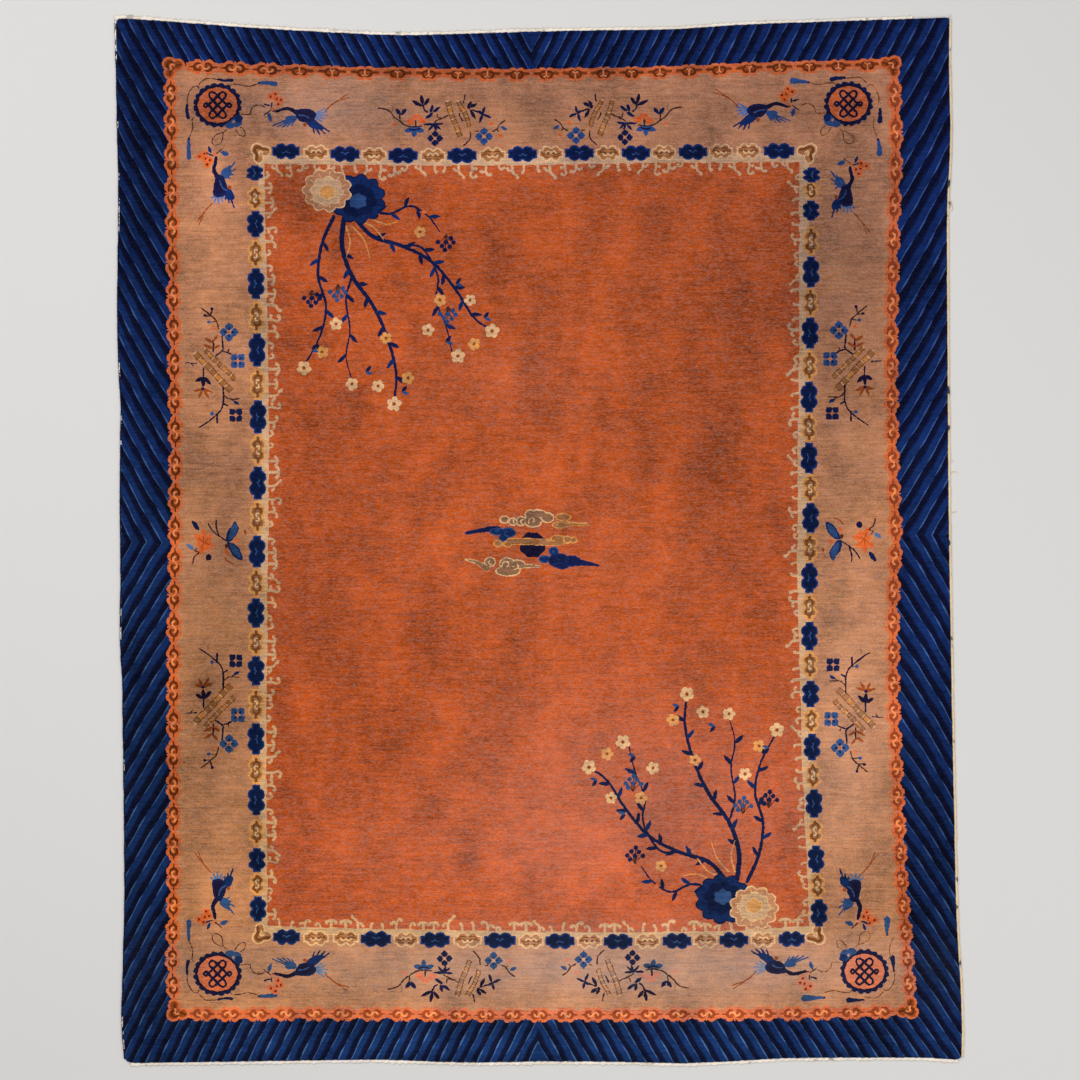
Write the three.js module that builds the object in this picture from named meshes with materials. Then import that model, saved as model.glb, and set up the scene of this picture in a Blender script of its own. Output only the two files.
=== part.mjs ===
// A hand-knotted Chinese carpet of room size, lying flat.
//
// Units are millimetres. The origin is the middle of the underside, +X runs across the width,
// +Y along the length, and +Z is up, out of the pile.
//
// The carpet is one woven body, a cotton foundation with its wool pile. A cotton cord is overcast
// along each long side, and a narrow cotton web finishes each end. An old carpet is never a true
// rectangle, so each side is a spline through a few measured places, and the rest follows it.

import * as THREE from 'three';

// Mean size of the woven body.
const WIDTH = 2732;
const LENGTH = 3422;

// How far each corner lies from the corner of that rectangle, and how it is rounded.
const CORNERS = {
  bottomLeft: { east: 14, north: -3, radius: 12 },
  bottomRight: { east: 17, north: 7, radius: 10 },
  topRight: { east: -22, north: 3, radius: 7 },
  topLeft: { east: -20, north: 0, radius: 18 },
};

// Heights above the floor. The pile is worn down along the rim, and a little uneven elsewhere.
const PILE_TOP = 11;
const RIM_TOP = 7.5;
const UNEVENNESS = 0.7;

// Steps of the body's grid across the width and along the length.
const STEPS_ACROSS = 26;
const STEPS_ALONG = 32;

// Edge finishes, and the gap that parts them from the body and from each other.
const GAP = 0.3;
const LEFT_CORD = { width: 5, height: 6.5 };
const RIGHT_CORD = { width: 6.5, height: 7 };
const TOP_WEB = { width: 6.5, height: 4 };
const BOTTOM_WEB = { width: 7.5, height: 4.5 };

// The steps of a web to each step of the body's side, for its worn edge.
const WEB_STEPS = 4;

// The top web is gone beside the right corner, for this share of its length.
const TOP_WEB_GONE = 0.018;

// How far each side leaves the straight line between its corners.
// The sides run anticlockwise. at: share of the side's length. out: mm outwards.
const BOTTOM_BOW = [
  { at: 0.13, out: -3 },
  { at: 0.25, out: -7 },
  { at: 0.31, out: -7 },
  { at: 0.41, out: 3 },
  { at: 0.5, out: 0 },
  { at: 0.6, out: 3 },
  { at: 0.67, out: 8 },
  { at: 0.75, out: -2 },
  { at: 0.8, out: -8 },
  { at: 0.95, out: -8 },
];
const RIGHT_BOW = [
  { at: 0.03, out: 3 },
  { at: 0.07, out: 0 },
  { at: 0.13, out: -10 },
  { at: 0.2, out: -14 },
  { at: 0.5, out: -21 },
  { at: 0.7, out: -19 },
  { at: 0.82, out: -15 },
  { at: 0.88, out: -2 },
  { at: 0.95, out: -4 },
];
const TOP_BOW = [
  { at: 0.05, out: -6 },
  { at: 0.14, out: -14 },
  { at: 0.24, out: -23 },
  { at: 0.34, out: -40 },
  { at: 0.4, out: -41 },
  { at: 0.5, out: -46 },
  { at: 0.65, out: -57 },
  { at: 0.74, out: -48 },
  { at: 0.84, out: -32 },
  { at: 0.94, out: -11 },
];
const LEFT_BOW = [
  { at: 0.09, out: -4 },
  { at: 0.18, out: -7 },
  { at: 0.35, out: -5 },
  { at: 0.52, out: 0 },
  { at: 0.81, out: -2 },
  { at: 0.89, out: 5 },
  { at: 0.97, out: 8 },
];

// How rough the loose edge of each web is, in mm, by share of its length.
const TOP_WEAR = [
  { at: 0, rough: 1 },
  { at: 0.45, rough: 1.2 },
  { at: 0.52, rough: 3.6 },
  { at: 0.9, rough: 4.2 },
  { at: 1, rough: 2 },
];
const BOTTOM_WEAR = [
  { at: 0, rough: 2.2 },
  { at: 0.4, rough: 2 },
  { at: 0.6, rough: 3 },
  { at: 0.85, rough: 1.4 },
  { at: 1, rough: 3 },
];

const WOOL = { color: 0xae5631, roughness: 0.95, metalness: 0 };
const COTTON = { color: 0xd8c9b2, roughness: 0.92, metalness: 0 };

// A smooth, repeatable unevenness between -1 and 1 at a place in mm.
function unevenness(x, y) {
  const wide = Math.sin(x / 410 + 0.7) * Math.cos(y / 530 - 0.4);
  const narrow = Math.sin(x / 170 - 1.3) * Math.cos(y / 210 + 2.1);
  return 0.6 * wide + 0.4 * narrow;
}

// A jagged, repeatable unevenness between 0 and 1, as of worn cotton.
function jagged(step, seed) {
  const value = Math.sin(step * 12.9898 + seed * 78.233) * 43758.5453;
  return value - Math.floor(value);
}

// The roughness of a web's loose edge, between the rows of its table.
function roughness(wear, share) {
  const next = Math.max(1, wear.findIndex(({ at }) => at >= share));
  const { at: from, rough: low } = wear[next - 1];
  const { at: to, rough: high } = wear[next];
  return THREE.MathUtils.mapLinear(share, from, to, low, high);
}

// A corner where the sides would meet if it were sharp.
function sharpCorner(name, signX, signY) {
  const { east, north } = CORNERS[name];
  return new THREE.Vector2((signX * WIDTH) / 2 + east, (signY * LENGTH) / 2 + north);
}

// The middle of a corner's arc.
function roundedCorner(sharp, radius) {
  const cut = radius * (1 - Math.SQRT1_2);
  return new THREE.Vector2(
    sharp.x - Math.sign(sharp.x) * cut,
    sharp.y - Math.sign(sharp.y) * cut,
  );
}

// The points of one side, from the middle of one rounded corner to the middle of the next.
function sidePoints(from, to, fromRadius, toRadius, bow, steps) {
  const length = from.distanceTo(to);
  const along = to.clone().sub(from).normalize();
  const outward = new THREE.Vector2(along.y, -along.x);
  const bends = bow.map(({ at, out }) => (
    from.clone().addScaledVector(along, at * length).addScaledVector(outward, out)
  ));
  const curve = new THREE.SplineCurve([from, ...bends, to]);
  const first = fromRadius / length;
  const last = 1 - toRadius / length;
  const points = [roundedCorner(from, fromRadius)];
  for (let step = 1; step < steps; step += 1) {
    const share = (step - 1) / (steps - 2);
    points.push(curve.getPointAt(THREE.MathUtils.lerp(first, last, share)));
  }
  points.push(roundedCorner(to, toRadius));
  return points;
}

// The body's four sides, anticlockwise, each with both of its corners.
function makeSides() {
  const bottomLeft = sharpCorner('bottomLeft', -1, -1);
  const bottomRight = sharpCorner('bottomRight', 1, -1);
  const topRight = sharpCorner('topRight', 1, 1);
  const topLeft = sharpCorner('topLeft', -1, 1);
  const side = (from, to, fromName, toName, bow, steps) => sidePoints(
    from,
    to,
    CORNERS[fromName].radius,
    CORNERS[toName].radius,
    bow,
    steps,
  );
  return {
    bottom: side(bottomLeft, bottomRight, 'bottomLeft', 'bottomRight', BOTTOM_BOW, STEPS_ACROSS),
    right: side(bottomRight, topRight, 'bottomRight', 'topRight', RIGHT_BOW, STEPS_ALONG),
    top: side(topRight, topLeft, 'topRight', 'topLeft', TOP_BOW, STEPS_ACROSS),
    left: side(topLeft, bottomLeft, 'topLeft', 'bottomLeft', LEFT_BOW, STEPS_ALONG),
  };
}

// A mesh from its corner points and its faces, each a list of the indices of 3 or 4 points.
function facetedMesh(name, points, faces, look) {
  const triangles = faces.flatMap((face) => (
    face.length === 4
      ? [face[0], face[1], face[2], face[0], face[2], face[3]]
      : face
  ));
  const geometry = new THREE.BufferGeometry();
  const positions = new Float32Array(points.flat());
  geometry.setAttribute('position', new THREE.BufferAttribute(positions, 3));
  geometry.setIndex(triangles);
  geometry.computeVertexNormals();
  const mesh = new THREE.Mesh(geometry, new THREE.MeshStandardMaterial(look));
  mesh.name = name;
  return mesh;
}

// The woven body: a grid stretched between its four sides, with a top, an underside and a wall.
function makeBody(sides) {
  const top = [...sides.top].reverse();
  const left = [...sides.left].reverse();
  const { bottom, right } = sides;
  const columns = STEPS_ACROSS + 1;

  const place = (column, row) => {
    const u = column / STEPS_ACROSS;
    const v = row / STEPS_ALONG;
    const between = (axis) => (
      (1 - v) * bottom[column][axis] + v * top[column][axis]
      + (1 - u) * left[row][axis] + u * right[row][axis]
      - (1 - u) * (1 - v) * bottom[0][axis] - u * (1 - v) * bottom[STEPS_ACROSS][axis]
      - (1 - u) * v * top[0][axis] - u * v * top[STEPS_ACROSS][axis]
    );
    return [between('x'), between('y')];
  };

  const points = [];
  const isRim = (column, row) => (
    column === 0 || row === 0 || column === STEPS_ACROSS || row === STEPS_ALONG
  );
  for (const layer of ['underside', 'top']) {
    for (let row = 0; row <= STEPS_ALONG; row += 1) {
      for (let column = 0; column <= STEPS_ACROSS; column += 1) {
        const [x, y] = place(column, row);
        const pile = isRim(column, row) ? RIM_TOP : PILE_TOP + UNEVENNESS * unevenness(x, y);
        points.push([x, y, layer === 'top' ? pile : 0]);
      }
    }
  }

  const faces = [];
  const topStart = columns * (STEPS_ALONG + 1);
  for (let row = 0; row < STEPS_ALONG; row += 1) {
    for (let column = 0; column < STEPS_ACROSS; column += 1) {
      const a = row * columns + column;
      const b = a + 1;
      const c = b + columns;
      const d = a + columns;
      faces.push([a, d, c, b]);
      faces.push([a + topStart, b + topStart, c + topStart, d + topStart]);
    }
  }

  const rim = [];
  for (let column = 0; column < STEPS_ACROSS; column += 1) rim.push(column);
  for (let row = 0; row < STEPS_ALONG; row += 1) rim.push(row * columns + STEPS_ACROSS);
  for (let column = STEPS_ACROSS; column > 0; column -= 1) {
    rim.push(STEPS_ALONG * columns + column);
  }
  for (let row = STEPS_ALONG; row > 0; row -= 1) rim.push(row * columns);
  rim.forEach((a, index) => {
    const b = rim[(index + 1) % rim.length];
    faces.push([a, b, b + topStart, a + topStart]);
  });
  return facetedMesh('rug_body', points, faces, WOOL);
}

// A point of a side between two of its points, with the direction that faces away from the body.
// Past a side's ends the neighbouring side turns the direction, so a corner's is diagonal.
function edgePlace(side, before, after, share) {
  const last = side.length - 1;
  const step = Math.min(Math.floor(share * last), last - 1);
  const rest = share * last - step;
  const point = side[step].clone().lerp(side[step + 1], rest);
  const normalAt = (index) => {
    const previous = index === 0 ? before.at(-2) : side[index - 1];
    const next = index === last ? after[1] : side[index + 1];
    const along = next.clone().sub(previous).normalize();
    return new THREE.Vector2(along.y, -along.x);
  };
  const outward = normalAt(step).lerp(normalAt(step + 1), rest).normalize();
  return { point, outward };
}

// A strip along a side. sectionAt gives its section at a share of the side, as [out, up] pairs
// that start at the body's foot and run outwards and up.
function makeStrip(name, side, before, after, shares, sectionAt) {
  const points = [];
  const faces = [];
  let corners = 0;
  shares.forEach((share, index) => {
    const { point, outward } = edgePlace(side, before, after, share);
    const section = sectionAt(share, index);
    corners = section.length;
    for (const [out, up] of section) {
      const place = point.clone().addScaledVector(outward, GAP + out);
      points.push([place.x, place.y, up]);
    }
  });
  for (let step = 0; step < shares.length - 1; step += 1) {
    for (let turn = 0; turn < corners; turn += 1) {
      const next = (turn + 1) % corners;
      const a = step * corners;
      const b = a + corners;
      faces.push([a + turn, b + turn, b + next, a + next]);
    }
  }
  const end = (shares.length - 1) * corners;
  for (let turn = 1; turn < corners - 1; turn += 1) {
    faces.push([0, turn, turn + 1]);
    faces.push([end, end + turn + 1, end + turn]);
  }
  return facetedMesh(name, points, faces, COTTON);
}

// Shares of a side for a strip's steps: each point of the side, and the steps between them.
// The strip's ends are held back by a gap at the corners.
function stripShares(side, stepsEach, from = 0) {
  const segments = side.length - 1;
  const startGap = GAP / side[0].distanceTo(side[1]) / segments;
  const endGap = GAP / side.at(-1).distanceTo(side.at(-2)) / segments;
  const first = Math.max(from, startGap);
  const last = 1 - endGap;
  const shares = [first];
  for (let step = 1; step < segments * stepsEach; step += 1) {
    const share = step / (segments * stepsEach);
    if (share > first) shares.push(share);
  }
  shares.push(last);
  return shares;
}

// An overcast cord: a full round, flattened where it lies on the floor and against the body.
function makeCord(name, side, before, after, { width, height }) {
  const section = [
    [0, 0.15 * height],
    [0.2 * width, 0],
    [0.75 * width, 0],
    [width, 0.3 * height],
    [width, 0.62 * height],
    [0.72 * width, 0.94 * height],
    [0.3 * width, height],
    [0, 0.8 * height],
  ];
  return makeStrip(name, side, before, after, stripShares(side, 1), () => section);
}

// A cotton web, whose loose edge is worn and tufted.
function makeWeb(name, side, before, after, { width, height }, wear, from = 0) {
  const shares = stripShares(side, WEB_STEPS, from);
  const sectionAt = (share, index) => {
    const out = width + roughness(wear, share) * (jagged(index, width) - 0.5);
    return [
      [0, 0],
      [0.85 * out, 0],
      [out, 0.4 * height],
      [0.75 * out, 0.95 * height],
      [0, height],
    ];
  };
  return makeStrip(name, side, before, after, shares, sectionAt);
}

const sides = makeSides();
const rug = new THREE.Group();
rug.add(makeBody(sides));
rug.add(makeCord('edge_cord_left', sides.left, sides.top, sides.bottom, LEFT_CORD));
rug.add(makeCord('edge_cord_right', sides.right, sides.bottom, sides.top, RIGHT_CORD));
rug.add(makeWeb('end_web_top', sides.top, sides.right, sides.left, TOP_WEB, TOP_WEAR, TOP_WEB_GONE));
rug.add(makeWeb('end_web_bottom', sides.bottom, sides.left, sides.right, BOTTOM_WEB, BOTTOM_WEAR));

// The middle of the whole carpet comes to the origin.
const extent = new THREE.Box3().setFromObject(rug);
const middle = extent.getCenter(new THREE.Vector3());
rug.position.set(-middle.x, -middle.y, 0);

export default rug;
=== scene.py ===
"""A hand-knotted Chinese carpet lying flat, drawn knot by knot in coloured wool.

The pattern is drawn on a chart. One chart unit is one knot, x runs to the right and y down the
length, and each motif is a few outlines and lines of yarn placed on that chart.
"""

import math
import random

import bmesh
import bpy
import numpy as np
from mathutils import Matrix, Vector
from mathutils.geometry import delaunay_2d_cdt


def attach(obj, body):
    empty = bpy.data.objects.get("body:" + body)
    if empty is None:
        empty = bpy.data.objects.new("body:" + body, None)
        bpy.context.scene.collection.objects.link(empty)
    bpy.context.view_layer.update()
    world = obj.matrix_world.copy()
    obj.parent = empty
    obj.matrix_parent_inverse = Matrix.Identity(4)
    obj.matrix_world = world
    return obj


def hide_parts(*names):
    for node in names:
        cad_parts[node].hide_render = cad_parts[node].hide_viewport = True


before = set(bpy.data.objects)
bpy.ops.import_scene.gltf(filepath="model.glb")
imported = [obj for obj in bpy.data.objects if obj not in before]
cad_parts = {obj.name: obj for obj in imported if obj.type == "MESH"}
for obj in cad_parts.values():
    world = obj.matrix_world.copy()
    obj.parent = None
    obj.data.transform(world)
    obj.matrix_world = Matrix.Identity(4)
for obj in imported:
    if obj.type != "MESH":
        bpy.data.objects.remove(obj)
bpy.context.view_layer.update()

# The chart: the size of a knot in metres, the chart place above the rug's origin, and how far the
# chart goes each way.
KNOT = 0.003277
CHART_X = 539.466
CHART_Y = 540.404
CHART_SIZE = 1080
CHART_MIDDLE = CHART_SIZE / 2

# Heights in metres: the cotton back, the pile over it, and how far the pile's edge is worn.
BACK_TOP = 0.0032
PILE_TOP = 0.0108
PILE_WORN = 0.0035

# Worn spots of the pile: the fold down its middle, by chart x, half width and depth in metres, how
# high the pile waves, and how far in from the rim it is worn down.
FOLD_X = 533
FOLD_HALF = 3.5
FOLD_DEEP = 0.0005
PILE_WAVES = 0.0004
RIM_WEAR = 2.4

# Chart lengths: the spacing of points along an outline, a slanting line, a ring between zones, the
# rim and the lines that part a ring, and of those that fill plain ground.
OUTLINE_STEP = 1.7
STRIPE_STEP = 5.0
RING_STEP = 12.0
RIM_STEP = 4.0
MITRE_STEP = 9.0
GRID_STEP = 13.0

# How far knots, the rim and the points on plain ground stray from their places.
STRAY = 0.36
RIM_STRAY = 0.25
GRID_STRAY = 2

# The dyed wools, as 8-bit sRGB.
YARNS = {
    "midnight": (8, 12, 32),
    "navy": (16, 24, 54),
    "deep_blue": (9, 22, 50),
    "blue": (15, 37, 75),
    "royal": (22, 46, 90),
    "mid_blue": (42, 68, 102),
    "light_blue": (68, 94, 124),
    "steel": (50, 77, 114),
    "terracotta": (172, 72, 18),
    "camel": (171, 112, 68),
    "dun": (128, 86, 50),
    "beige": (190, 148, 100),
    "cream": (208, 162, 104),
    "gold": (200, 134, 60),
    "apricot": (216, 124, 66),
    "ochre": (136, 86, 42),
    "amber": (178, 108, 38),
    "bronze": (142, 86, 34),
    "hazel": (160, 98, 44),
    "nut": (112, 64, 28),
    "russet": (136, 58, 30),
    "orange": (192, 88, 32),
    "poppy": (200, 84, 22),
    "rust": (140, 64, 22),
    "umber": (94, 40, 12),
    "walnut": (64, 34, 26),
    "ink": (20, 16, 38),
}

# The pale grey that wear and dust add to a yarn, and the share of it that shows on a dark one: a
# yarn whose three colours add up to less than DARK_YARN. No patch is darker than DARKEST of its yarn.
DUST = (186, 172, 168)
DUST_ON_DARK = 0.06
DARK_YARN = 260
DARKEST = 0.3

rng = random.Random(31)


def place(x, y, z):
    """A chart place at a height, in metres."""
    return ((x - CHART_X) * KNOT, (CHART_Y - y) * KNOT, z)


def linear(rgb):
    """An 8-bit sRGB colour, as linear light."""
    share = [c / 255 for c in rgb]
    return [c / 12.92 if c <= 0.04045 else ((c + 0.055) / 1.055) ** 2.4 for c in share]


# Outlines and lines on the chart
def resampled(points, step, closed):
    """The same line with points at even steps along it."""
    line = np.asarray(points, float)
    if closed:
        line = np.vstack([line, line[:1]])
    gaps = np.hypot(*np.diff(line, axis=0).T)
    along = np.concatenate([[0], np.cumsum(gaps)])
    count = max(6 if closed else 1, int(round(along[-1] / step)))
    stops = np.linspace(0, along[-1], count + 1)
    out = np.column_stack([np.interp(stops, along, line[:, i]) for i in (0, 1)])
    return out[:-1] if closed else out


def smoothed(points, closed, parts=5):
    """A Catmull-Rom curve through the points."""
    p = np.asarray(points, float)
    if len(p) < 3:
        return p
    ends = (p[-1:], p[:2]) if closed else (2 * p[:1] - p[1:2], 2 * p[-1:] - p[-2:-1])
    q = np.vstack([ends[0], p, ends[1]])
    out = []
    for i in range(len(q) - 3):
        a, b, c, d = q[i:i + 4]
        for t in np.arange(parts) / parts:
            out.append(0.5 * (2 * b + (c - a) * t + (2 * a - 5 * b + 4 * c - d) * t * t
                              + (3 * b - a - 3 * c + d) * t ** 3))
    if not closed:
        out.append(p[-1])
    return np.array(out)


def thickened(points, widths):
    """The outline of a line with a width at each of its points."""
    p = np.asarray(points, float)
    way = np.gradient(p, axis=0)
    way /= np.maximum(np.hypot(way[:, 0], way[:, 1]), 1e-9)[:, None]
    side = np.column_stack([-way[:, 1], way[:, 0]]) * (np.asarray(widths) / 2)[:, None]
    head = p[:1] - way[:1] * widths[0] * 0.4
    tail = p[-1:] + way[-1:] * widths[-1] * 0.4
    return np.vstack([head, p + side, tail, (p - side)[::-1]])


def scalloped(x, y, across, along, bumps, depth, turn):
    """A cloud edge: an ellipse with rounded bumps that meet in notches."""
    t = np.linspace(0, 2 * math.pi, 6 * bumps, endpoint=False)
    r = 1 - depth + depth * 1.6 * np.abs(np.sin(bumps * (t + turn) / 2))
    return np.column_stack([x + across * r * np.cos(t), y + along * r * np.sin(t)])


class Zone:
    """A part of the pile, with the shapes knotted into it in the order they lie."""

    def __init__(self, name, ground):
        self.name = name
        self.ground = ground
        self.shapes = []

    def add(self, yarn, outline):
        """Lays a shape over the earlier ones."""
        self.shapes.append((yarn, np.asarray(outline, float)))


class Pen:
    """Draws a motif's shapes into a zone, moved, turned, mirrored or grown."""

    def __init__(self, zone, at=(0, 0), start=(0, 0), flip=(1, 1), turn=0.0, grow=1.0):
        self.zone = zone
        self.at = np.array(at, float)
        self.start = np.array(start, float)
        cos, sin = math.cos(turn), math.sin(turn)
        mirrored = np.array([[flip[0], 0], [0, flip[1]]], float)
        self.matrix = grow * np.array([[cos, -sin], [sin, cos]]) @ mirrored

    def put(self, yarn, outline):
        """An outline at the pen's place, its knots a little astray."""
        moved = (np.asarray(outline, float) - self.start) @ self.matrix.T + self.at
        knots = resampled(moved, OUTLINE_STEP, True)
        knots += np.array([[rng.uniform(-STRAY, STRAY) for _ in (0, 1)] for _ in knots])
        self.zone.add(yarn, knots)

    def patch(self, yarn, points):
        """A rounded shape."""
        self.put(yarn, smoothed(points, True))

    def sharp(self, yarn, points):
        """A shape with corners."""
        self.put(yarn, points)

    def line(self, yarn, points, width, tip=None):
        """A curved line that may narrow or widen to its tip."""
        curve = resampled(smoothed(points, False), OUTLINE_STEP, False)
        tip = width if tip is None else tip
        self.put(yarn, thickened(curve, np.linspace(width, tip, len(curve))))

    def leaf(self, yarn, root, tip, width):
        """A leaf or petal that is widest in the middle and pointed at its ends."""
        curve = np.linspace(root, tip, 9)
        self.put(yarn, thickened(curve, width * np.sin(np.linspace(0.35, 2.9, 9))))

    def dot(self, yarn, x, y, radius, long=None):
        """A round or oval spot."""
        t = np.linspace(0, 2 * math.pi, 12, endpoint=False)
        long = radius if long is None else long
        self.put(yarn, np.column_stack([x + radius * np.cos(t), y + long * np.sin(t)]))

    def cloud(self, yarn, x, y, across, along, bumps, depth, turn=0.0):
        """A cloud or flower with a scalloped edge."""
        self.put(yarn, scalloped(x, y, across, along, bumps, depth, turn))


# The three zones of the pile, from the outside in
outer_border = Zone("pile_outer_border", "midnight")
main_border = Zone("pile_main_border", "camel")
field = Zone("pile_field", "terracotta")

# The middle line of the cloud band, side by side, as woven.
BAND_TOP = [(170.5, 65.5), (203, 67), (267, 70), (330, 72.5), (457, 74.7), (531, 74.7), (600, 73.8),
            (640, 73.4), (780, 67.5), (860, 66), (893, 64)]
BAND_RIGHT = [(893, 64), (896, 130), (896, 160), (894, 200), (891, 330), (892, 460), (896, 540),
              (892.5, 590), (893, 700), (898, 810), (901, 880), (905, 930), (907.5, 960), (910, 1010.5)]
BAND_BOTTOM = [(175, 1013), (225, 1014.5), (290, 1013.5), (400, 1014), (460, 1015), (531, 1015),
               (640, 1014.5), (790, 1013.5), (870, 1012), (910, 1010.5)]
BAND_LEFT = [(170.5, 65.5), (171, 90), (172, 200), (174, 330), (175.7, 460), (175, 560),
             (173.8, 640), (173.5, 760), (173.8, 880), (173, 930), (172.3, 970), (175, 1013)]
BAND_HALF = 7.4

# The line where the beige edge meets the field, and the middle line of the bead chain.
FIELD_TOP = [(263, 163), (330, 163.5), (420, 164.5), (530, 164), (600, 162.5), (700, 161.5), (800, 161)]
FIELD_RIGHT = [(800, 161), (800.5, 300), (799, 440), (798.5, 560), (800, 640), (803, 760), (808, 860),
               (810, 927)]
FIELD_BOTTOM = [(267, 927), (330, 929), (440, 931), (530, 932.5), (620, 933.5), (730, 932), (810, 927)]
FIELD_LEFT = [(263, 163), (266, 290), (268, 440), (267, 560), (265.5, 700), (265.5, 820), (267, 927)]

# The stripes of each quarter: line number, a place on it, and how far it leans. The light line of
# the first is at the tip of the chevron in the middle of an end.
STRIPES = {
    "top_left": [(0, 531.5, 52.4, 0.57), (30, 141.5, 45, 0.58), (49, 143, 536.6, 0.56)],
    "top_right": [(0, 531.5, 52.4, 0.52), (14, 717.7, 46, 0.52), (28, 922, 45, 0.56),
                  (36, 924, 283, 0.57), (45, 926, 518.7, 0.6)],
    "bottom_left": [(0, 538.2, 1041, 0.52), (31, 143, 1041, 0.5), (40, 143, 820, 0.6),
                    (51, 143, 547.4, 0.6)],
    "bottom_right": [(0, 538.2, 1041, 0.56), (29, 936, 1041, 0.7), (39, 931, 813, 0.63),
                     (49, 926, 550, 0.6)],
}
TOP_TIP, BOTTOM_TIP, LEFT_TIP, RIGHT_TIP = 531.5, 538.2, 542, 534.5

# The distance between two lines along the rim, the width of a light line, and the share of that
# distance that is blue and deep blue. The first stripe at a chevron is wider.
STRIPE_PITCH = 12.8
LIGHT_LINE = 0.75
STRIPE_BLUE = 0.61
STRIPE_DEEP = 0.12
CHEVRON_BLUE = 1.2
LINES_PAST_CORNER = 5


def read(table, value, column, key=0):
    """A column of a table, read between its rows and past its ends."""
    rows = sorted(table, key=lambda row: row[key])
    keys = [row[key] for row in rows]
    if value > keys[-1]:
        a, b = rows[-2:]
    elif value < keys[0]:
        a, b = rows[:2]
    else:
        return float(np.interp(value, keys, [row[column] for row in rows]))
    return a[column] + (b[column] - a[column]) * (value - a[key]) / (b[key] - a[key])


def cut(points, axis, limit, keep_low):
    """The part of an outline on one side of a line across the chart."""
    out = []
    sign = 1 if keep_low else -1
    kept = [sign * (limit - p[axis]) >= 0 for p in points]
    for i, p in enumerate(points):
        j = i - 1
        if kept[i] != kept[j]:
            q = points[j]
            t = (limit - q[axis]) / (p[axis] - q[axis])
            out.append(q + (p - q) * t)
        if kept[i]:
            out.append(p)
    return out


def stripe_line(quarter, number):
    """One slanting line of a quarter, from beyond the rim to the middle of the cloud band."""
    table = STRIPES[quarter]
    x, y, lean = (read(table, number, column) for column in (1, 2, 3))
    right = -1 if quarter.endswith("right") else 1
    down = -1 if quarter.startswith("bottom") else 1
    phase = 1.7 * math.floor(number)
    out = []
    for d in np.arange(-85, 86, STRIPE_STEP):
        sway = 0.45 * math.sin(d / 6.1 + phase) + 0.35 * math.sin(d / 3.3 + 2.3 * phase)
        px = x + right * (lean * d + 0.0009 * d * d) + sway
        py = y + down * d
        if not (104 < px < 974 and 6 < py < 1076):
            continue
        out.append((px, py))
        edge_x = read(BAND_LEFT if right > 0 else BAND_RIGHT, py, 0, 1)
        edge_y = read(BAND_TOP if down > 0 else BAND_BOTTOM, px, 1, 0)
        if right * (px - edge_x) > 1 and down * (py - edge_y) > 1:
            break
    return np.array(out)


def between(quarter, near, far):
    """The outline between two slanting lines, cut off at the chevrons."""
    a, b = stripe_line(quarter, near), stripe_line(quarter, far)
    if len(a) < 2 or len(b) < 2:
        return None
    points = list(np.vstack([a, b[::-1]]))
    top, left = quarter.startswith("top"), quarter.endswith("left")
    points = cut(points, 0, TOP_TIP if top else BOTTOM_TIP, left)
    if points:
        points = cut(points, 1, LEFT_TIP if left else RIGHT_TIP, top)
    return points if len(points) > 2 else None


def lay_stripes():
    """Blue stripes on midnight, each with a thin light line on its outer side."""
    for quarter, table in STRIPES.items():
        for number in range(table[-1][0] + LINES_PAST_CORNER):
            start = number - (STRIPE_BLUE if number else CHEVRON_BLUE)
            bands = [("deep_blue", start, start + STRIPE_DEEP),
                     ("blue", start + STRIPE_DEEP, number),
                     ("steel", number - LIGHT_LINE / STRIPE_PITCH, number)]
            for yarn, near, far in bands:
                outline = between(quarter, near, far)
                if outline is not None:
                    outer_border.add(yarn, outline)


lay_stripes()


# Each side of the cloud band: its middle line, the axis it runs along, places of some of the necks
# between its clouds by number, the neck's half width, the way its scrolls face and their dark wool.
BAND_SIDES = [
    (BAND_TOP, 0, [(0, 187), (3, 283), (7, 414), (12, 561), (16, 674), (20, 794.7), (23, 882)],
     3.8, 1, "umber"),
    (BAND_BOTTOM, 0, [(0, 188), (5, 328), (9, 446), (14, 579), (20, 749), (25, 895)], 3.8, -1, "russet"),
    (BAND_LEFT, 1, [(0, 79), (1, 108), (6, 279), (11, 449), (16, 611), (21, 771), (25, 892),
                    (28, 972), (29, 999)], 2.6, -1, "umber"),
    (BAND_RIGHT, 1, [(0, 77), (4, 223), (8, 353), (11, 445), (16, 607), (19, 698), (24, 840), (30, 997)],
     3.2, 1, "russet"),
]
BROWN_CLOUDS_FROM = 290

# The four ways to mirror a motif, for the upper left, upper right, lower left and lower right
FLIPS = [(1, 1), (-1, 1), (1, -1), (-1, -1)]


def cloud_stops(line, axis, necks):
    """Middle, direction and length of each cloud, from the places of some of the necks between them."""
    p = resampled(line, 1.0, False)
    numbers, places = zip(*necks)
    bounds = np.interp(range(numbers[-1] + 1), numbers, places)
    ends = [np.array([np.interp(bound, p[:, axis], p[:, c]) for c in (0, 1)]) for bound in bounds]
    out = []
    for near, far in zip(ends, ends[1:]):
        way = far - near
        out.append(((near + far) / 2, math.atan2(way[1], way[0]), math.hypot(*way)))
    return out


def lobes(pen, yarn, spots, less=0.0):
    """Round lobes that run together into one cloud. Each spot is x, y, reach across and along."""
    for x, y, across, along in spots:
        pen.dot(yarn, x, y, across - less, along - less)


def box(across, low, high):
    """The corners of a box around x = 0."""
    return [(-across, low), (across, low), (across, high), (-across, high)]


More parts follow.
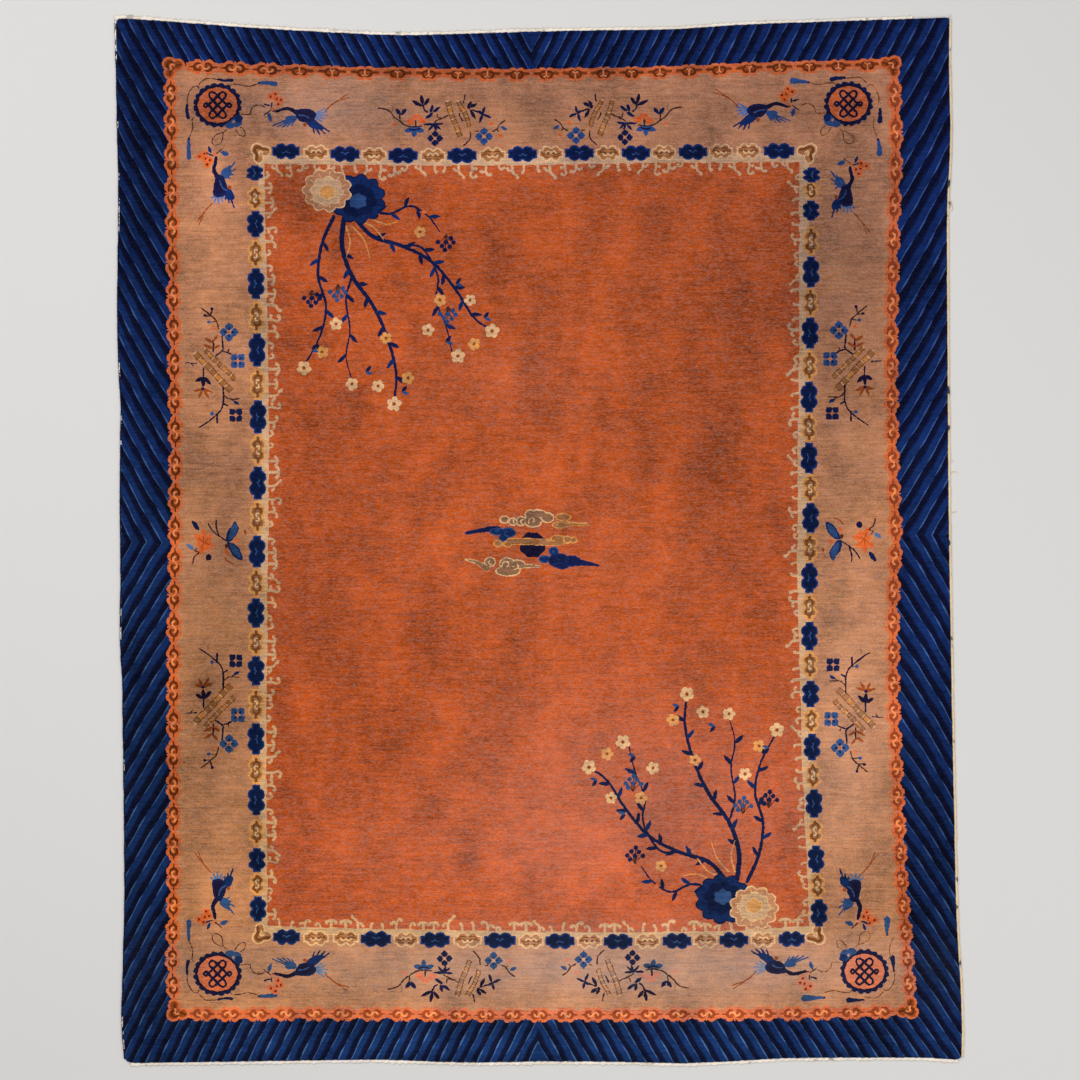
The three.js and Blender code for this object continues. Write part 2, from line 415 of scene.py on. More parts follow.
def scroll_cloud(pen, long, side, neck, dark):
    """A cloud of two lobes between narrow necks, a brown arch in each and a bright scroll between."""
    a, b = long / 2, BAND_HALF
    pen.sharp("orange", box(a + 1, -neck, neck))
    pen.patch("orange", [(-a * 0.96, -neck), (-a * 0.7, -b * 0.66), (0, -b * 0.7), (a * 0.7, -b * 0.66),
                         (a * 0.96, -neck), (a * 0.96, neck), (a * 0.7, b * 0.66), (0, b * 0.7),
                         (-a * 0.7, b * 0.66), (-a * 0.96, neck)])
    for way in (-1, 1):
        for up in (-1, 1):
            pen.dot("orange", way * a * 0.36, up * b * 0.5, a * 0.3, b * 0.56)
            pen.dot("orange", way * a * 0.6, up * b * 0.3, a * 0.18, b * 0.42)
    for way in (-1, 1):
        pen.dot("rust", way * a * 0.36, 0, a * 0.3, b * 0.6)
        arch = [(0.14, -0.4), (0.36, -0.5), (0.56, -0.14), (0.56, 0.14), (0.36, 0.5), (0.14, 0.4)]
        pen.line(dark, [(way * a * x, b * y) for x, y in arch], 2.1)
        pen.line(dark, [(way * a * 0.56, 0), (way * a * 0.9, 0)], 2.2, 1.2)
    pen.line("orange", [(0, -b * 0.9), (0, b * 0.9)], 2.0)
    scroll = [(-0.36, -0.1), (-0.3, 0.2), (-0.12, 0.26), (0, 0), (0.12, -0.26), (0.3, -0.2), (0.36, 0.1)]
    pen.line("apricot", [(a * x, b * y * side) for x, y in scroll], 1.9)


def brown_cloud(pen, long, side, dark):
    """A cloud of an end: a round brown head between narrower arms, with small bright curls."""
    a, b = long / 2, BAND_HALF
    arm = -b * 0.14
    pen.sharp("orange", box(a, -b * 0.76, b * 0.42))
    lobes(pen, "orange", [(way * a * 0.26, up * b * 0.36, a * 0.34, b * 0.62)
                          for way in (-1, 1) for up in (-1, 1)])
    lobes(pen, "rust", [(way * a * 0.2, 0, a * 0.3, b * 0.62) for way in (-1, 1)])
    pen.line("rust", [(-a * 0.82, arm), (a * 0.82, arm)], 3.6)
    for way in (-1, 1):
        arch = [(0.1, -0.4), (0.34, -0.34), (0.42, 0), (0.3, 0.38), (0.1, 0.42)]
        pen.line(dark, [(way * a * x, b * y) for x, y in arch], 2.2)
        pen.line(dark, [(way * a * 0.4, arm), (way * a * 0.84, arm)], 1.8, 1.0)
        hooked = [(0, 0.06), (1.6, 0.34), (3.2, 0.3)]
        pen.line("apricot", [(way * x, b * y * side) for x, y in hooked], 1.2)
    pen.line("apricot", [(0, b * 0.1 * side), (0, -b * 0.5 * side)], 1.2)


def corner_cloud(pen):
    """The three-lobed cloud of a corner."""
    spots = [(-1.5, -1.5, 7.4, 7.4), (7.5, -0.8, 7.0, 6.4), (-0.8, 7.5, 6.4, 7.0), (3.2, 3.2, 4.2, 4.2)]
    lobes(pen, "orange", spots)
    lobes(pen, "rust", spots, 2.4)
    pen.line("umber", [(10.5, -1.2), (5, 0.2), (2.8, -3.0), (-2.2, -3.6), (-3.6, 1.2), (0.2, 3.4),
                       (-0.8, 10)], 2.2)
    pen.line("apricot", [(4.4, -0.6), (1.6, -1.4), (-0.6, 0.4), (0.6, 2.6), (-0.4, 4.6)], 1.7)


def lay_cloud_band():
    """A camel ground inside the middle line of the band, the clouds over it and one at each corner."""
    ring = BAND_TOP + BAND_RIGHT[1:] + BAND_BOTTOM[::-1][1:] + BAND_LEFT[::-1][1:-1]
    outer_border.add("camel", resampled(ring, 6.0, True))
    for line, axis, necks, neck, side, dark in BAND_SIDES:
        for i, (spot, turn, long) in enumerate(cloud_stops(line, axis, necks)):
            pen = Pen(outer_border, at=spot, turn=turn)
            facing = side if i % 2 else -side
            if line is BAND_TOP and spot[0] > BROWN_CLOUDS_FROM:
                brown_cloud(pen, long, facing, dark)
            else:
                scroll_cloud(pen, long, facing, neck, dark)
    for corner, flip in zip((BAND_TOP[0], BAND_TOP[-1], BAND_BOTTOM[0], BAND_BOTTOM[-1]), FLIPS):
        corner_cloud(Pen(outer_border, at=corner, flip=flip))


lay_cloud_band()


# The bead chain on its beige edge, and the hooks that reach from it into the field
BEADS_TOP = [(258.6, 151, "corner"), (286, 151.3, "navy"), (316, 152.5, "gold"), (345, 154, "navy"),
             (374, 155, "gold"), (403, 155.5, "navy"), (433, 155.7, "gold"), (462, 155.5, "navy"),
             (492.5, 155, "gold"), (522.6, 154, "navy"), (551, 153.5, "gold"), (579.4, 153, "navy"),
             (608, 153, "gold"), (636, 153, "navy"), (664, 152.5, "gold"), (693, 152, "navy"),
             (721, 151.5, "gold"), (748.6, 151, "gold"), (779, 151, "navy"), (809, 151, "corner")]
BEADS_BOTTOM = [(260, 936, "corner"), (286.6, 937, "navy"), (316, 938, "gold"), (346, 938, "gold"),
                (376, 939, "navy"), (406, 939.5, "gold"), (435, 940, "navy"), (467.5, 940, "gold"),
                (500, 940.5, "navy"), (531, 941, "gold"), (560, 941, "navy"), (589.5, 941, "gold"),
                (618, 941.5, "navy"), (647.5, 941, "gold"), (677, 941, "navy"), (705.5, 940.5, "gold"),
                (734, 940, "navy"), (763, 939.5, "gold"), (791.6, 939, "navy"), (817.5, 937, "corner")]
BEADS_LEFT = [(255, 173, "small"), (255.2, 198, "gold"), (255.4, 224, "navy"), (255.6, 253.5, "gold"),
              (256, 283.7, "navy"), (256.4, 317, "gold"), (257, 350, "navy"), (257.6, 384, "gold"),
              (258, 417, "navy"), (258, 450, "gold"), (257.8, 483, "navy"), (257.5, 517, "gold"),
              (257, 551.7, "navy"), (256.5, 583, "gold"), (256, 613, "navy"), (256, 642, "gold"),
              (256, 671, "navy"), (256, 705, "gold"), (256, 739, "navy"), (256, 770, "gold"),
              (256.3, 800, "navy"), (256.7, 832, "gold"), (257, 860, "navy"), (257.3, 884, "gold"),
              (258, 909, "navy")]
BEADS_RIGHT = [(811.5, 175, "small"), (811, 190.5, "half"), (811, 210.5, "navy"), (811, 241, "gold"),
               (811, 272, "navy"), (810.5, 302.5, "gold"), (810, 333, "navy"), (809.5, 365.5, "gold"),
               (809, 397, "navy"), (809, 427.5, "gold"), (809, 458, "navy"), (810.3, 488.5, "gold"),
               (810.6, 518, "navy"), (810, 548, "gold"), (809.5, 578, "navy"), (809.3, 607.5, "gold"),
               (809.5, 636, "navy"), (810, 665, "gold"), (810.5, 694, "navy"), (811.3, 720.5, "gold"),
               (812, 747, "navy"), (813, 775.5, "gold"), (814, 803.5, "navy"), (815, 831.5, "gold"),
               (816, 859, "navy"), (817.5, 886, "gold"), (819, 913, "navy")]


# The rim and heart of a bead, and how much smaller the heart is
BEAD_LOOKS = {
    "navy": ("royal", "deep_blue", 1.5),
    "gold_side": ("gold", "ochre", 2.2),
    "gold_end": ("cream", "hazel", 1.6),
}


def bead(pen, kind, long, half, side):
    """One bead lying along x: two round lobes between narrower ends, and a scroll inside."""
    a = long / 2 - 0.4
    look = "navy" if kind == "navy" else "gold_side" if side else "gold_end"
    rim_yarn, heart_yarn, inset = BEAD_LOOKS[look]
    end = half * (0.46 if side else 0.54)
    waist = half * 0.7
    spots = [(way * a * 0.36, up * half * 0.36, a * 0.4, half * 0.62) for way in (-1, 1) for up in (-1, 1)]
    for yarn, less in ((rim_yarn, 0), (heart_yarn, inset)):
        pen.sharp(yarn, box(a - less, less - end, end - less))
        lobes(pen, yarn, spots, less)
        pen.sharp(yarn, box(a * 0.36, less - waist, waist - less))
    if look == "gold_end":
        pen.line("nut", [(-a + 2.6, 0.4), (-a * 0.4, -1), (0, 1), (a * 0.4, -1), (a - 2.6, 0.4)], 1.5)
    for way in (-1, 1):
        middle = way * a * 0.36
        if look == "navy":
            pen.line("mid_blue", [(0, -0.8), (way * 1.8, 1.6), (way * 4.2, 1.0)], 1.1)
        elif look == "gold_end":
            pen.line("nut", [(way * 1.8, -3.0), (way * a * 0.42, -3.8), (way * a * 0.7, -1.4)], 1.3)
            pen.line("cream", [(0, 0.2), (way * 2.0, 2.4), (way * 4.6, 1.9), (way * 5.2, -0.2)], 1.6)
        else:
            arch = [(-2.6, -2.8), (1.6, -3.4), (3.2, 0.4), (-0.4, 3.2)]
            pen.line("nut", [(middle + way * x, way * y) for x, y in arch], 2.2)
            pen.line("nut", [(middle + way * 2.6, 0), (way * (a - 2.4), 0)], 2.0)
            pen.line("cream", [(way * 0.2, way * 0.6), (way * 2.6, way * 1.6), (way * 4.4, -0.2),
                               (way * 3.0, way * -1.8)], 1.5)
    if look == "gold_end":
        pen.dot("cream", 0, 1.2, 1.2)


def corner_bead(pen):
    """The gold cloud at a corner of the chain, opening towards the field."""
    spots = [(-1.5, -1.5, 7.0, 7.0), (6.4, 0, 6.6, 5.6), (0, 6.8, 5.6, 6.6)]
    lobes(pen, "cream", spots)
    lobes(pen, "hazel", spots, 1.7)
    pen.line("nut", [(9.5, -1.2), (4.2, -2.4), (-1.6, -4.2), (-4.2, -0.6), (-1.8, 3), (-2.4, 9.4)], 3.0)
    pen.line("cream", [(4.2, 1.4), (0.8, 0.4), (0.2, 2.6), (1.6, 5)], 1.8)


# The hooks, which stand on the beige edge and point along -y: lines with their width at the root
# and at the tip, then round ends.
HOOKS = [
    ([([(0, 3), (0, -3.4), (0.5, -7.2)], 2.6, 2.3)],
     [(1.3, -7.4, 1.7)]),
    ([([(0, 3), (0.2, -4.6), (1.6, -8.8), (4.0, -9.6), (5.0, -11.6)], 2.7, 2.2),
      ([(0.4, -5), (-2.8, -5.8), (-4.2, -4.2)], 2.3, 2.3)],
     [(5.2, -12, 1.8), (-4.3, -3.7, 1.7)]),
    ([([(0, 3), (0, -5.4), (-1.8, -9), (-4.2, -9.6)], 2.7, 2.2),
      ([(0, -4.6), (2.6, -6.8), (4.8, -6.2)], 2.3, 2.3)],
     [(-4.6, -8.6, 1.9), (5.0, -5.4, 1.7)]),
    ([([(0, 3), (-0.4, -3), (1.8, -6.2), (4.0, -5.2)], 2.4, 2.1)],
     [(4.2, -4.4, 1.7)]),
    ([([(0, 3), (0.3, -6), (-1.4, -9.8), (0.4, -12.8), (3.0, -12.6)], 2.6, 2.1),
      ([(0.2, -3.8), (3.4, -4.8)], 2.2, 2.2)],
     [(3.6, -11.6, 1.9), (3.9, -4.5, 1.7)]),
    ([([(0, 3), (0, -4), (0.2, -8.6)], 2.8, 2.5),
      ([(-4.0, -8.0), (0, -9.0), (4.0, -8.2)], 2.5, 2.5)],
     [(-4.4, -7.0, 1.8), (4.4, -7.2, 1.8)]),
]
HOOK_ORDER = [1, 0, 5, 3, 2, 4, 0, 5, 1, 3, 2, 0]
HOOK_SPACING = 13.0


def hook(pen, lines, ends):
    for points, width, tip in lines:
        pen.line("beige", points, width, tip)
    for x, y, radius in ends:
        pen.dot("beige", x, y, radius)


def lay_hooks():
    """Hooks along the four sides of the field, turned about and mixed as a weaver would."""
    sides = ((FIELD_TOP, math.pi), (FIELD_RIGHT, -math.pi / 2),
             (FIELD_BOTTOM, 0.0), (FIELD_LEFT, math.pi / 2))
    for number, (line, turn) in enumerate(sides):
        for i, spot in enumerate(resampled(line, HOOK_SPACING, False)[1:-1]):
            style = HOOK_ORDER[(i * 5 + number * 3 + i // 7) % len(HOOK_ORDER)]
            flip = 1 if (i + i // 3) % 2 else -1
            grow = rng.uniform(0.92, 1.14)
            at = spot + np.array([rng.uniform(-1.6, 1.6), rng.uniform(-1.6, 1.6)])
            hook(Pen(field, at=at, turn=turn, flip=(flip, 1), grow=grow), *HOOKS[style])
        inward = np.array([math.sin(turn), -math.cos(turn)])
        wavy = resampled(line, 7.0, False)
        for a, b in zip(wavy, wavy[1:]):
            lift = rng.uniform(0.4, 1.7)
            way = (b - a) / max(1e-6, float(np.hypot(*(b - a))))
            quad = [a - inward * 1.5, b - inward * 1.5, b + inward * lift + way, a + inward * lift - way]
            field.add("beige", quad)


# The outline of the beige edge, and the beads: half as wide as this, and at most this long
EDGE = [(258.6, 155), (530, 153.6), (809, 153), (810.5, 540), (818, 936), (560, 939), (260, 934),
        (257.4, 540)]
HALF_AT_ENDS, HALF_NAVY, HALF_GOLD = 8.3, 8.9, 8.4
LONGEST_BEAD, SHORT_BEAD = 34, 16


def lay_bead_chain():
    """The beige edge, with navy and gold beads end to end along its outer side."""
    main_border.add("beige", resampled(EDGE, 5.0, True))
    sides = ((BEADS_TOP, 0.0), (BEADS_BOTTOM, math.pi),
             (BEADS_LEFT, math.pi / 2), (BEADS_RIGHT, -math.pi / 2))
    for number, (beads, turn) in enumerate(sides):
        at_end = number < 2
        axis = 0 if at_end else 1
        for i, (x, y, kind) in enumerate(beads):
            if kind == "corner":
                corner_bead(Pen(main_border, at=(x, y), flip=FLIPS[number * 2 + int(i > 0)]))
                continue
            gaps = [abs(beads[j][axis] - beads[i][axis]) for j in (i - 1, i + 1) if 0 <= j < len(beads)]
            long = min(gaps) * (1.04 if kind == "navy" else 0.9 if at_end else 0.97)
            long = SHORT_BEAD if kind in ("small", "half") else min(long, LONGEST_BEAD)
            look = {"small": "navy", "half": "gold"}.get(kind, kind)
            half = HALF_AT_ENDS if at_end else HALF_NAVY if look == "navy" else HALF_GOLD
            flip = (1, -1) if (i // 2) % 2 else (1, 1)
            bead(Pen(main_border, at=(x, y), turn=turn, flip=flip), look, long, half, not at_end)


lay_bead_chain()
lay_hooks()


# Motifs. Each is drawn once, at its place in the upper left of the chart, and mirrored from there.
def blossom(pen, yarn, x, y, size, turn):
    """A small open flower of five round petals."""
    for i in range(5):
        t = turn + 2 * math.pi * i / 5
        pen.dot(yarn, x + 0.56 * size * math.cos(t), y + 0.56 * size * math.sin(t), 0.46 * size * 0.85)
    pen.dot("rust", x, y, 0.24 * size)


def four_petals(pen, yarn, x, y, size, heart="gold", turn=0.0, dark="ink"):
    """A four-petalled flower: broad pointed petals, a dark vein in each, and a light heart."""
    size = size * 1.12
    spot = np.array([x, y])
    shape = [(0.12, 0), (0.4, 0.4), (0.62, 0.5), (0.8, 0.4), (0.92, 0.2), (1.14, 0)]
    shape += [(along, -out) for along, out in shape[-2:0:-1]]
    for i in range(4):
        t = turn + math.pi / 2 * i
        way = np.array([math.cos(t), math.sin(t)])
        side = np.array([-way[1], way[0]])
        pen.sharp(yarn, [spot + way * size * along + side * size * out for along, out in shape])
        pen.leaf(dark, spot + way * size * 0.2, spot + way * size * 0.62, size * 0.2)
    pen.dot("camel", x, y, size * 0.24)
    pen.dot(heart, x, y, max(0.8, size * 0.12))


# The cords of a roundel, and its tassels: yarn, root, middle, tip, and width at the root and the tip
CORDS = [
    [(-30.4, -1), (-30, -9), (-25.6, -17), (-20.6, -19.4), (-18.4, -16)],
    [(-19, -20), (-12.6, -26), (-4.6, -26.4), (1.4, -25.4)],
    [(12.4, -17), (14, -20.8), (20.4, -20.8), (28.4, -19.2), (34, -19.6), (40, -21)],
    [(-23, 12), (-25.6, 14.4), (-24.8, 21.8), (-26.8, 29), (-28.9, 34)],
    [(23, 9), (30.4, 9.5), (33, 8.6), (33.6, 4.4), (37.4, 0.4), (43.4, -0.2), (47.6, 2.4)],
    [(9.4, 24), (5.2, 28.8), (4.9, 34.8), (1.4, 39.4), (-3.6, 39.8), (-5.6, 36), (-3, 30.8), (1.4, 28.3),
     (6, 27)],
    [(17, 22.8), (20.4, 28.4), (25.4, 31.4), (27.9, 29), (26, 24), (22, 21.8)],
]
TASSELS = {
    "left": [("navy", (0.6, -25.8), (8, -24.6), (15, -25), 2.0, 3.2),
             ("mid_blue", (41, -22.4), (50, -22.4), (58.4, -21.4), 2.8, 5.0),
             ("navy", (-30.4, -0.4), (-30.6, 6), (-29.4, 13), 2.4, 3.8),
             ("mid_blue", (-28.8, 33.6), (-29, 43), (-28.6, 53), 2.8, 5.2)],
    "upper_right": [("navy", (3.4, -26), (12, -25.6), (17.6, -24), 2.6, 4.6),
                    ("mid_blue", (39.6, -21.6), (50, -22.6), (57, -23), 2.2, 6.4),
                    ("navy", (-31.6, 5), (-31.8, 11), (-31.4, 18), 2.6, 5.6),
                    ("mid_blue", (-29.6, 35.6), (-31, 43), (-31, 50.4), 2.4, 6.4)],
    "lower_right": [("navy", (1, -28.4), (12, -28.6), (17, -28.4), 1.6, 5.4),
                    ("mid_blue", (40, -26), (52, -26.4), (61, -26.6), 2.0, 7.0),
                    ("navy", (-29.4, 0.6), (-28.6, 9), (-28, 14.6), 1.6, 5.6),
                    ("mid_blue", (-22.6, 36.6), (-22.5, 44), (-22.5, 53), 2.0, 7.0)],
}


def endless_knot(pen):
    """An interlaced knot of three lines each way, looped at its ends, around 0, 0."""
    step, reach = 6.6, 10.0
    for off in (-step, 0, step):
        pen.line("ink", [(off, -reach), (off, reach)], 2.6)
        pen.line("ink", [(-reach, off), (reach, off)], 2.6)
    for a, b in ((-step, 0), (0, step)):
        mid = (a + b) / 2
        end = -1 if a < 0 else 1
        loop = [(a, 1), (a + 0.7, 1.28), (mid, 1.4), (b - 0.7, 1.28), (b, 1)]
        pen.line("ink", [(along, reach * out * end) for along, out in loop], 2.2)
        pen.line("ink", [(reach * out * end, along) for along, out in loop], 2.2)
    for sx, sy in ((1, -1), (-1, 1)):
        pen.line("ink", [(step * sx, reach * sy), (reach * sx, reach * sy), (reach * sx, step * sy)], 2.2)


def roundel(pen, right, low):
    """A toothed medallion with an endless knot, its bow, cords and tassels. Its middle is 0, 0."""
    for cord in CORDS:
        pen.line("nut" if right else "walnut", cord, 0.95)
    corner = "left" if not right else "lower_right" if low else "upper_right"
    for yarn, root, middle, tip, thin, wide in TASSELS[corner]:
        pen.line(yarn, [root, middle, tip], thin, wide)
        pen.dot("ink", *root, 1.2)
    pen.cloud("navy", 0, 0, 24.0, 22.0, 20, 0.06)
    pen.dot("ink", 0, 0, 22.0, 20.0)
    pen.dot("mid_blue", 18.2, 16.4, 6.4, 6.0)
    pen.dot("mid_blue", 12.6, 20, 5.0, 3.6)
    pen.dot("blue", 21.2, 13.6, 4.0)
    pen.dot("camel", 16.0, 16.4, 1.6)
    pen.dot("ink", 0, 0, 22.0, 20.0)
    pen.dot("orange", 0, 0, 20.2, 18.0)
    turn = math.atan2(pen.matrix[1, 0], pen.matrix[0, 0])
    endless_knot(Pen(pen.zone, at=pen.at, turn=turn + math.pi / 4))


def florets(pen, x, y):
    """The spray of five small orange flowers that a crane holds."""
    for dx, dy in ((-5, -1.6), (-0.2, -4.4), (1.4, 0.8), (5.4, 1.8), (2.6, 6.2)):
        pen.dot("poppy", x + dx, y + dy, 3.7, 3.4)
        pen.dot("umber", x + dx + 0.2, y + dy - 0.2, 1.4)


def feathers(pen, yarn, root, tips, width):
    """Tapering feathers that fan out from one root."""
    for tip in tips:
        bend = ((root[0] + tip[0]) / 2 + 0.6, (root[1] + tip[1]) / 2 - 0.4)
        pen.line(yarn, [root, bend, tip], width, width * 0.6)


def flying_crane(pen):
    """A crane flying to the left along an end of the rug."""
    for far in ((348, 94), (350, 97)):
        pen.line("rust", [(324, 112), (334, 103), far], 1.1)
    florets(pen, 275.4, 98.4)
    pen.line("ink", [(271.6, 102.6), (271.8, 108)], 1.3)
    pen.line("navy", [(264.4, 104), (268, 105.4), (271, 105.4)], 2.0, 1.4)
    pen.line("walnut", [(263.6, 115.4), (267.6, 112.4), (271.4, 109.6)], 1.2)
    pen.leaf("mid_blue", (268.4, 113), (271.2, 121.4), 4.0)
    pen.dot("orange", 273.4, 109.4, 1.9)
    feathers(pen, "light_blue", (312, 116),
             [(325, 108), (327.6, 111.4), (327.4, 115.4), (325.6, 119.4), (322, 122)], 2.6)
    feathers(pen, "blue", (309, 120), [(330, 132), (325.4, 134), (320, 134.6), (314.6, 133.4)], 2.5)
    pen.patch("blue", [(303, 118), (312, 117.6), (319, 123), (324, 129), (317, 129.6), (309, 126)])
    feathers(pen, "mid_blue", (295, 117),
             [(272, 126), (277, 127), (282, 127.6), (287, 127), (291.4, 126)], 2.2)
    pen.patch("mid_blue", [(285, 117.6), (290.6, 115.4), (297, 116.6), (295, 121.6), (288.4, 122.4)])
    pen.line("ink", [(275.2, 111.6), (279.4, 110.4), (286, 108.6), (291.6, 109.8), (297.6, 113.4)],
             2.7, 4.4)
    pen.patch("navy", [(294.6, 110.6), (300, 109), (307, 108.6), (313, 110.6), (316.4, 114.6), (314, 119.4),
                       (308, 122.4), (300.6, 121.4), (296.4, 117)])
    pen.patch("ink", [(298, 111.6), (306, 111), (312.4, 113.4), (311, 118.4), (303, 119.4), (298, 115.4)])
    pen.line("mid_blue", [(298, 115), (304, 115.4), (309.6, 118)], 1.4)
    pen.dot("rust", 305, 124.6, 2.2)
    pen.line("walnut", [(275.4, 110.6), (272, 111.6)], 1.4)


def rising_crane(pen):
    """A crane flying up along a long side of the rug."""
    for far in ((196, 223), (199, 225)):
        pen.line("rust", [(212.4, 203), (204.4, 212), far], 1.1)
    florets(pen, 204.4, 158.4)
    pen.line("navy", [(206.4, 153), (210, 154.6), (213.6, 155.4)], 1.5)
    pen.line("walnut", [(214.6, 154.6), (219, 151.4), (223, 148)], 1.4, 1.0)
    pen.leaf("blue", (208.4, 146.6), (211.2, 153.4), 3.2)
    pen.leaf("mid_blue", (221, 152), (228.8, 154.8), 4.6)
    pen.dot("orange", 214.8, 154.6, 1.9)
    feathers(pen, "light_blue", (217.4, 194),
             [(211, 198.6), (213.6, 203), (218.4, 204), (223, 202.6), (225.4, 199)], 2.6)
    feathers(pen, "blue", (226, 190), [(234.4, 208), (229, 203), (233.4, 199), (225.6, 200)], 2.5)
    pen.patch("blue", [(223, 187), (230, 188.6), (234.4, 195.6), (233, 200), (226, 198)])
    feathers(pen, "mid_blue", (223, 176),
             [(235.4, 161.4), (236, 169), (233.4, 174.6), (231, 178.8), (230, 165)], 2.3)
    pen.patch("mid_blue", [(220.6, 172.6), (226.6, 167), (231.4, 170.4), (229.6, 176.6), (223.6, 178.4)])
    pen.line("ink", [(216.2, 157.4), (215.2, 163), (213.8, 169.4), (216.6, 175.4), (219.6, 181)], 3.0, 5.0)
    pen.patch("navy", [(213, 190), (214.6, 181), (217, 175), (222.4, 175.6), (226.4, 183), (227.4, 190),
                       (224, 196), (217, 197), (213.4, 195)])
    pen.patch("ink", [(215, 188), (216.6, 181), (220, 178.4), (223, 184), (223.4, 191), (219, 194.4),
                      (215.6, 193)])
    pen.line("mid_blue", [(219.6, 180), (222, 187), (227, 190.6)], 1.5)
    pen.dot("rust", 229.6, 187.4, 2.1)


def bar(near, far, side, reach):
    """The corners of a straight bar from one place to another."""
    return [near - side * reach, far - side * reach, far + side * reach, near + side * reach]


def bamboo(pen, joints, width):
    """A stalk of golden brown bamboo in short segments, outlined, with a pale ring at each joint."""
    stops = resampled(joints, width * 1.2, False)
    way = (stops[-1] - stops[0]) / np.hypot(*(stops[-1] - stops[0]))
    side = np.array([-way[1], way[0]])
    for i, spot in enumerate(stops[:-1]):
        reach = width * rng.uniform(0.46, 0.56)
        near, far = spot + way * 0.2, stops[i + 1] - way * 0.3
        pen.sharp("nut", bar(near, far, side, reach))
        reach -= 0.9
        pen.sharp("amber" if i % 3 == 1 else "bronze", bar(near + way * 0.5, far - way * 0.5, side, reach))
        pen.line("cream", [spot - side * reach, spot + side * reach], 0.9)


def end_spray(pen):
    """The blossom, leaves and bamboo of the ends of the rug."""
    pen.line("walnut", [(378, 108), (384, 108.8), (390, 111.6), (394, 117), (400, 121.4), (405, 125),
                        (413, 127), (422, 126)], 1.5)
    pen.line("walnut", [(400, 121), (399.4, 114)], 1.4)
    pen.line("ochre", [(391, 105), (393, 107.4), (391.6, 112)], 1.5)
    pen.leaf("navy", (396, 109), (401, 115), 4.4)
    pen.leaf("navy", (406, 109), (401.4, 115), 4.2)
    pen.dot("poppy", 394.2, 124.4, 2.4, 2.1)
    for x, y in ((410.5, 121.4), (416, 117), (422.6, 120.6)):
        pen.cloud("poppy", x, y, 4.4, 3.2, 5, 0.1)
    pen.line("walnut", [(415.6, 120.6), (415.8, 127)], 2.0)
    for tip in ((404.4, 131), (414, 137), (424, 131)):
        pen.leaf("mid_blue", (414.4, 128.8), tip, 5.4)
    pen.line("ink", [(409, 129), (414.6, 130), (420, 128.4)], 1.6)
    for root, tip in (((422.4, 106), (411.4, 100.8)), ((423, 105), (420.8, 94.6)),
                      ((424, 105.4), (429.6, 98))):
        pen.leaf("ink", root, tip, 3.8)
    pen.line("ink", [(422.6, 105), (424.4, 110), (428, 112.6)], 1.8)
    for root, tip in (((431, 112.4), (432.6, 104.8)), ((433, 112), (440.4, 106.6)),
                      ((433, 113), (425.6, 118.4))):
        pen.leaf("navy", root, tip, 3.6)
    pen.line("walnut", [(437, 113.6), (438, 118), (444, 117.4), (449, 114.4)], 1.3)
    pen.line("walnut", [(442, 118.6), (435.6, 121), (433.6, 124)], 1.3)
    for tip in ((423, 124.4), (428, 131), (436.4, 131), (441, 129.6), (443.4, 123.6)):
        pen.leaf("navy", (434, 124.2), tip, 2.6)
    four_petals(pen, "navy", 435, 138.4, 6.6)
    bamboo(pen, [(447.6, 101), (449.4, 107.6), (451.6, 115.6), (456.4, 126), (460.4, 137)], 5.4)
    bamboo(pen, [(458, 101), (461, 107), (464.8, 112.6), (467.6, 119.6), (469.4, 127.4)], 4.8)
    pen.line("ink", [(464.8, 94.4), (464.6, 99), (463, 103)], 1.5)
    pen.line("ink", [(459.2, 113.4), (460, 117), (463, 121)], 1.5)
    for root, tip in (((468, 107), (471.4, 101.6)), ((470, 107.6), (477, 103.4)),
                      ((470.4, 110), (475.6, 119)), ((469.6, 109), (467.6, 106))):
        pen.leaf("ink", root, tip, 3.6)
    pen.line("ink", [(471, 109.6), (479, 112.4)], 1.6)
    for tip in ((484.6, 106.6), (491.4, 118), (479.4, 123), (478, 111)):
        pen.leaf("navy", (482.6, 114), tip, 2.9)
    four_petals(pen, "mid_blue", 484, 136.4, 7.4, dark="blue")
    pen.line("walnut", [(475, 130.6), (479, 131.6)], 1.2)
    pen.line("walnut", [(470.4, 131.6), (470.2, 138.4), (466.6, 143), (463, 146)], 1.4)
    pen.line("walnut", [(491.6, 132), (496.6, 129.4), (500, 124), (505.4, 120.4)], 1.4)
    pen.line("walnut", [(496.6, 129.4), (499, 132)], 1.1)
    pen.dot("poppy", 491.2, 123.8, 2.3, 2.0)
    pen.dot("poppy", 500.2, 136, 2.2, 1.9)
    pen.leaf("mid_blue", (500.6, 126.6), (507, 129.8), 3.6)


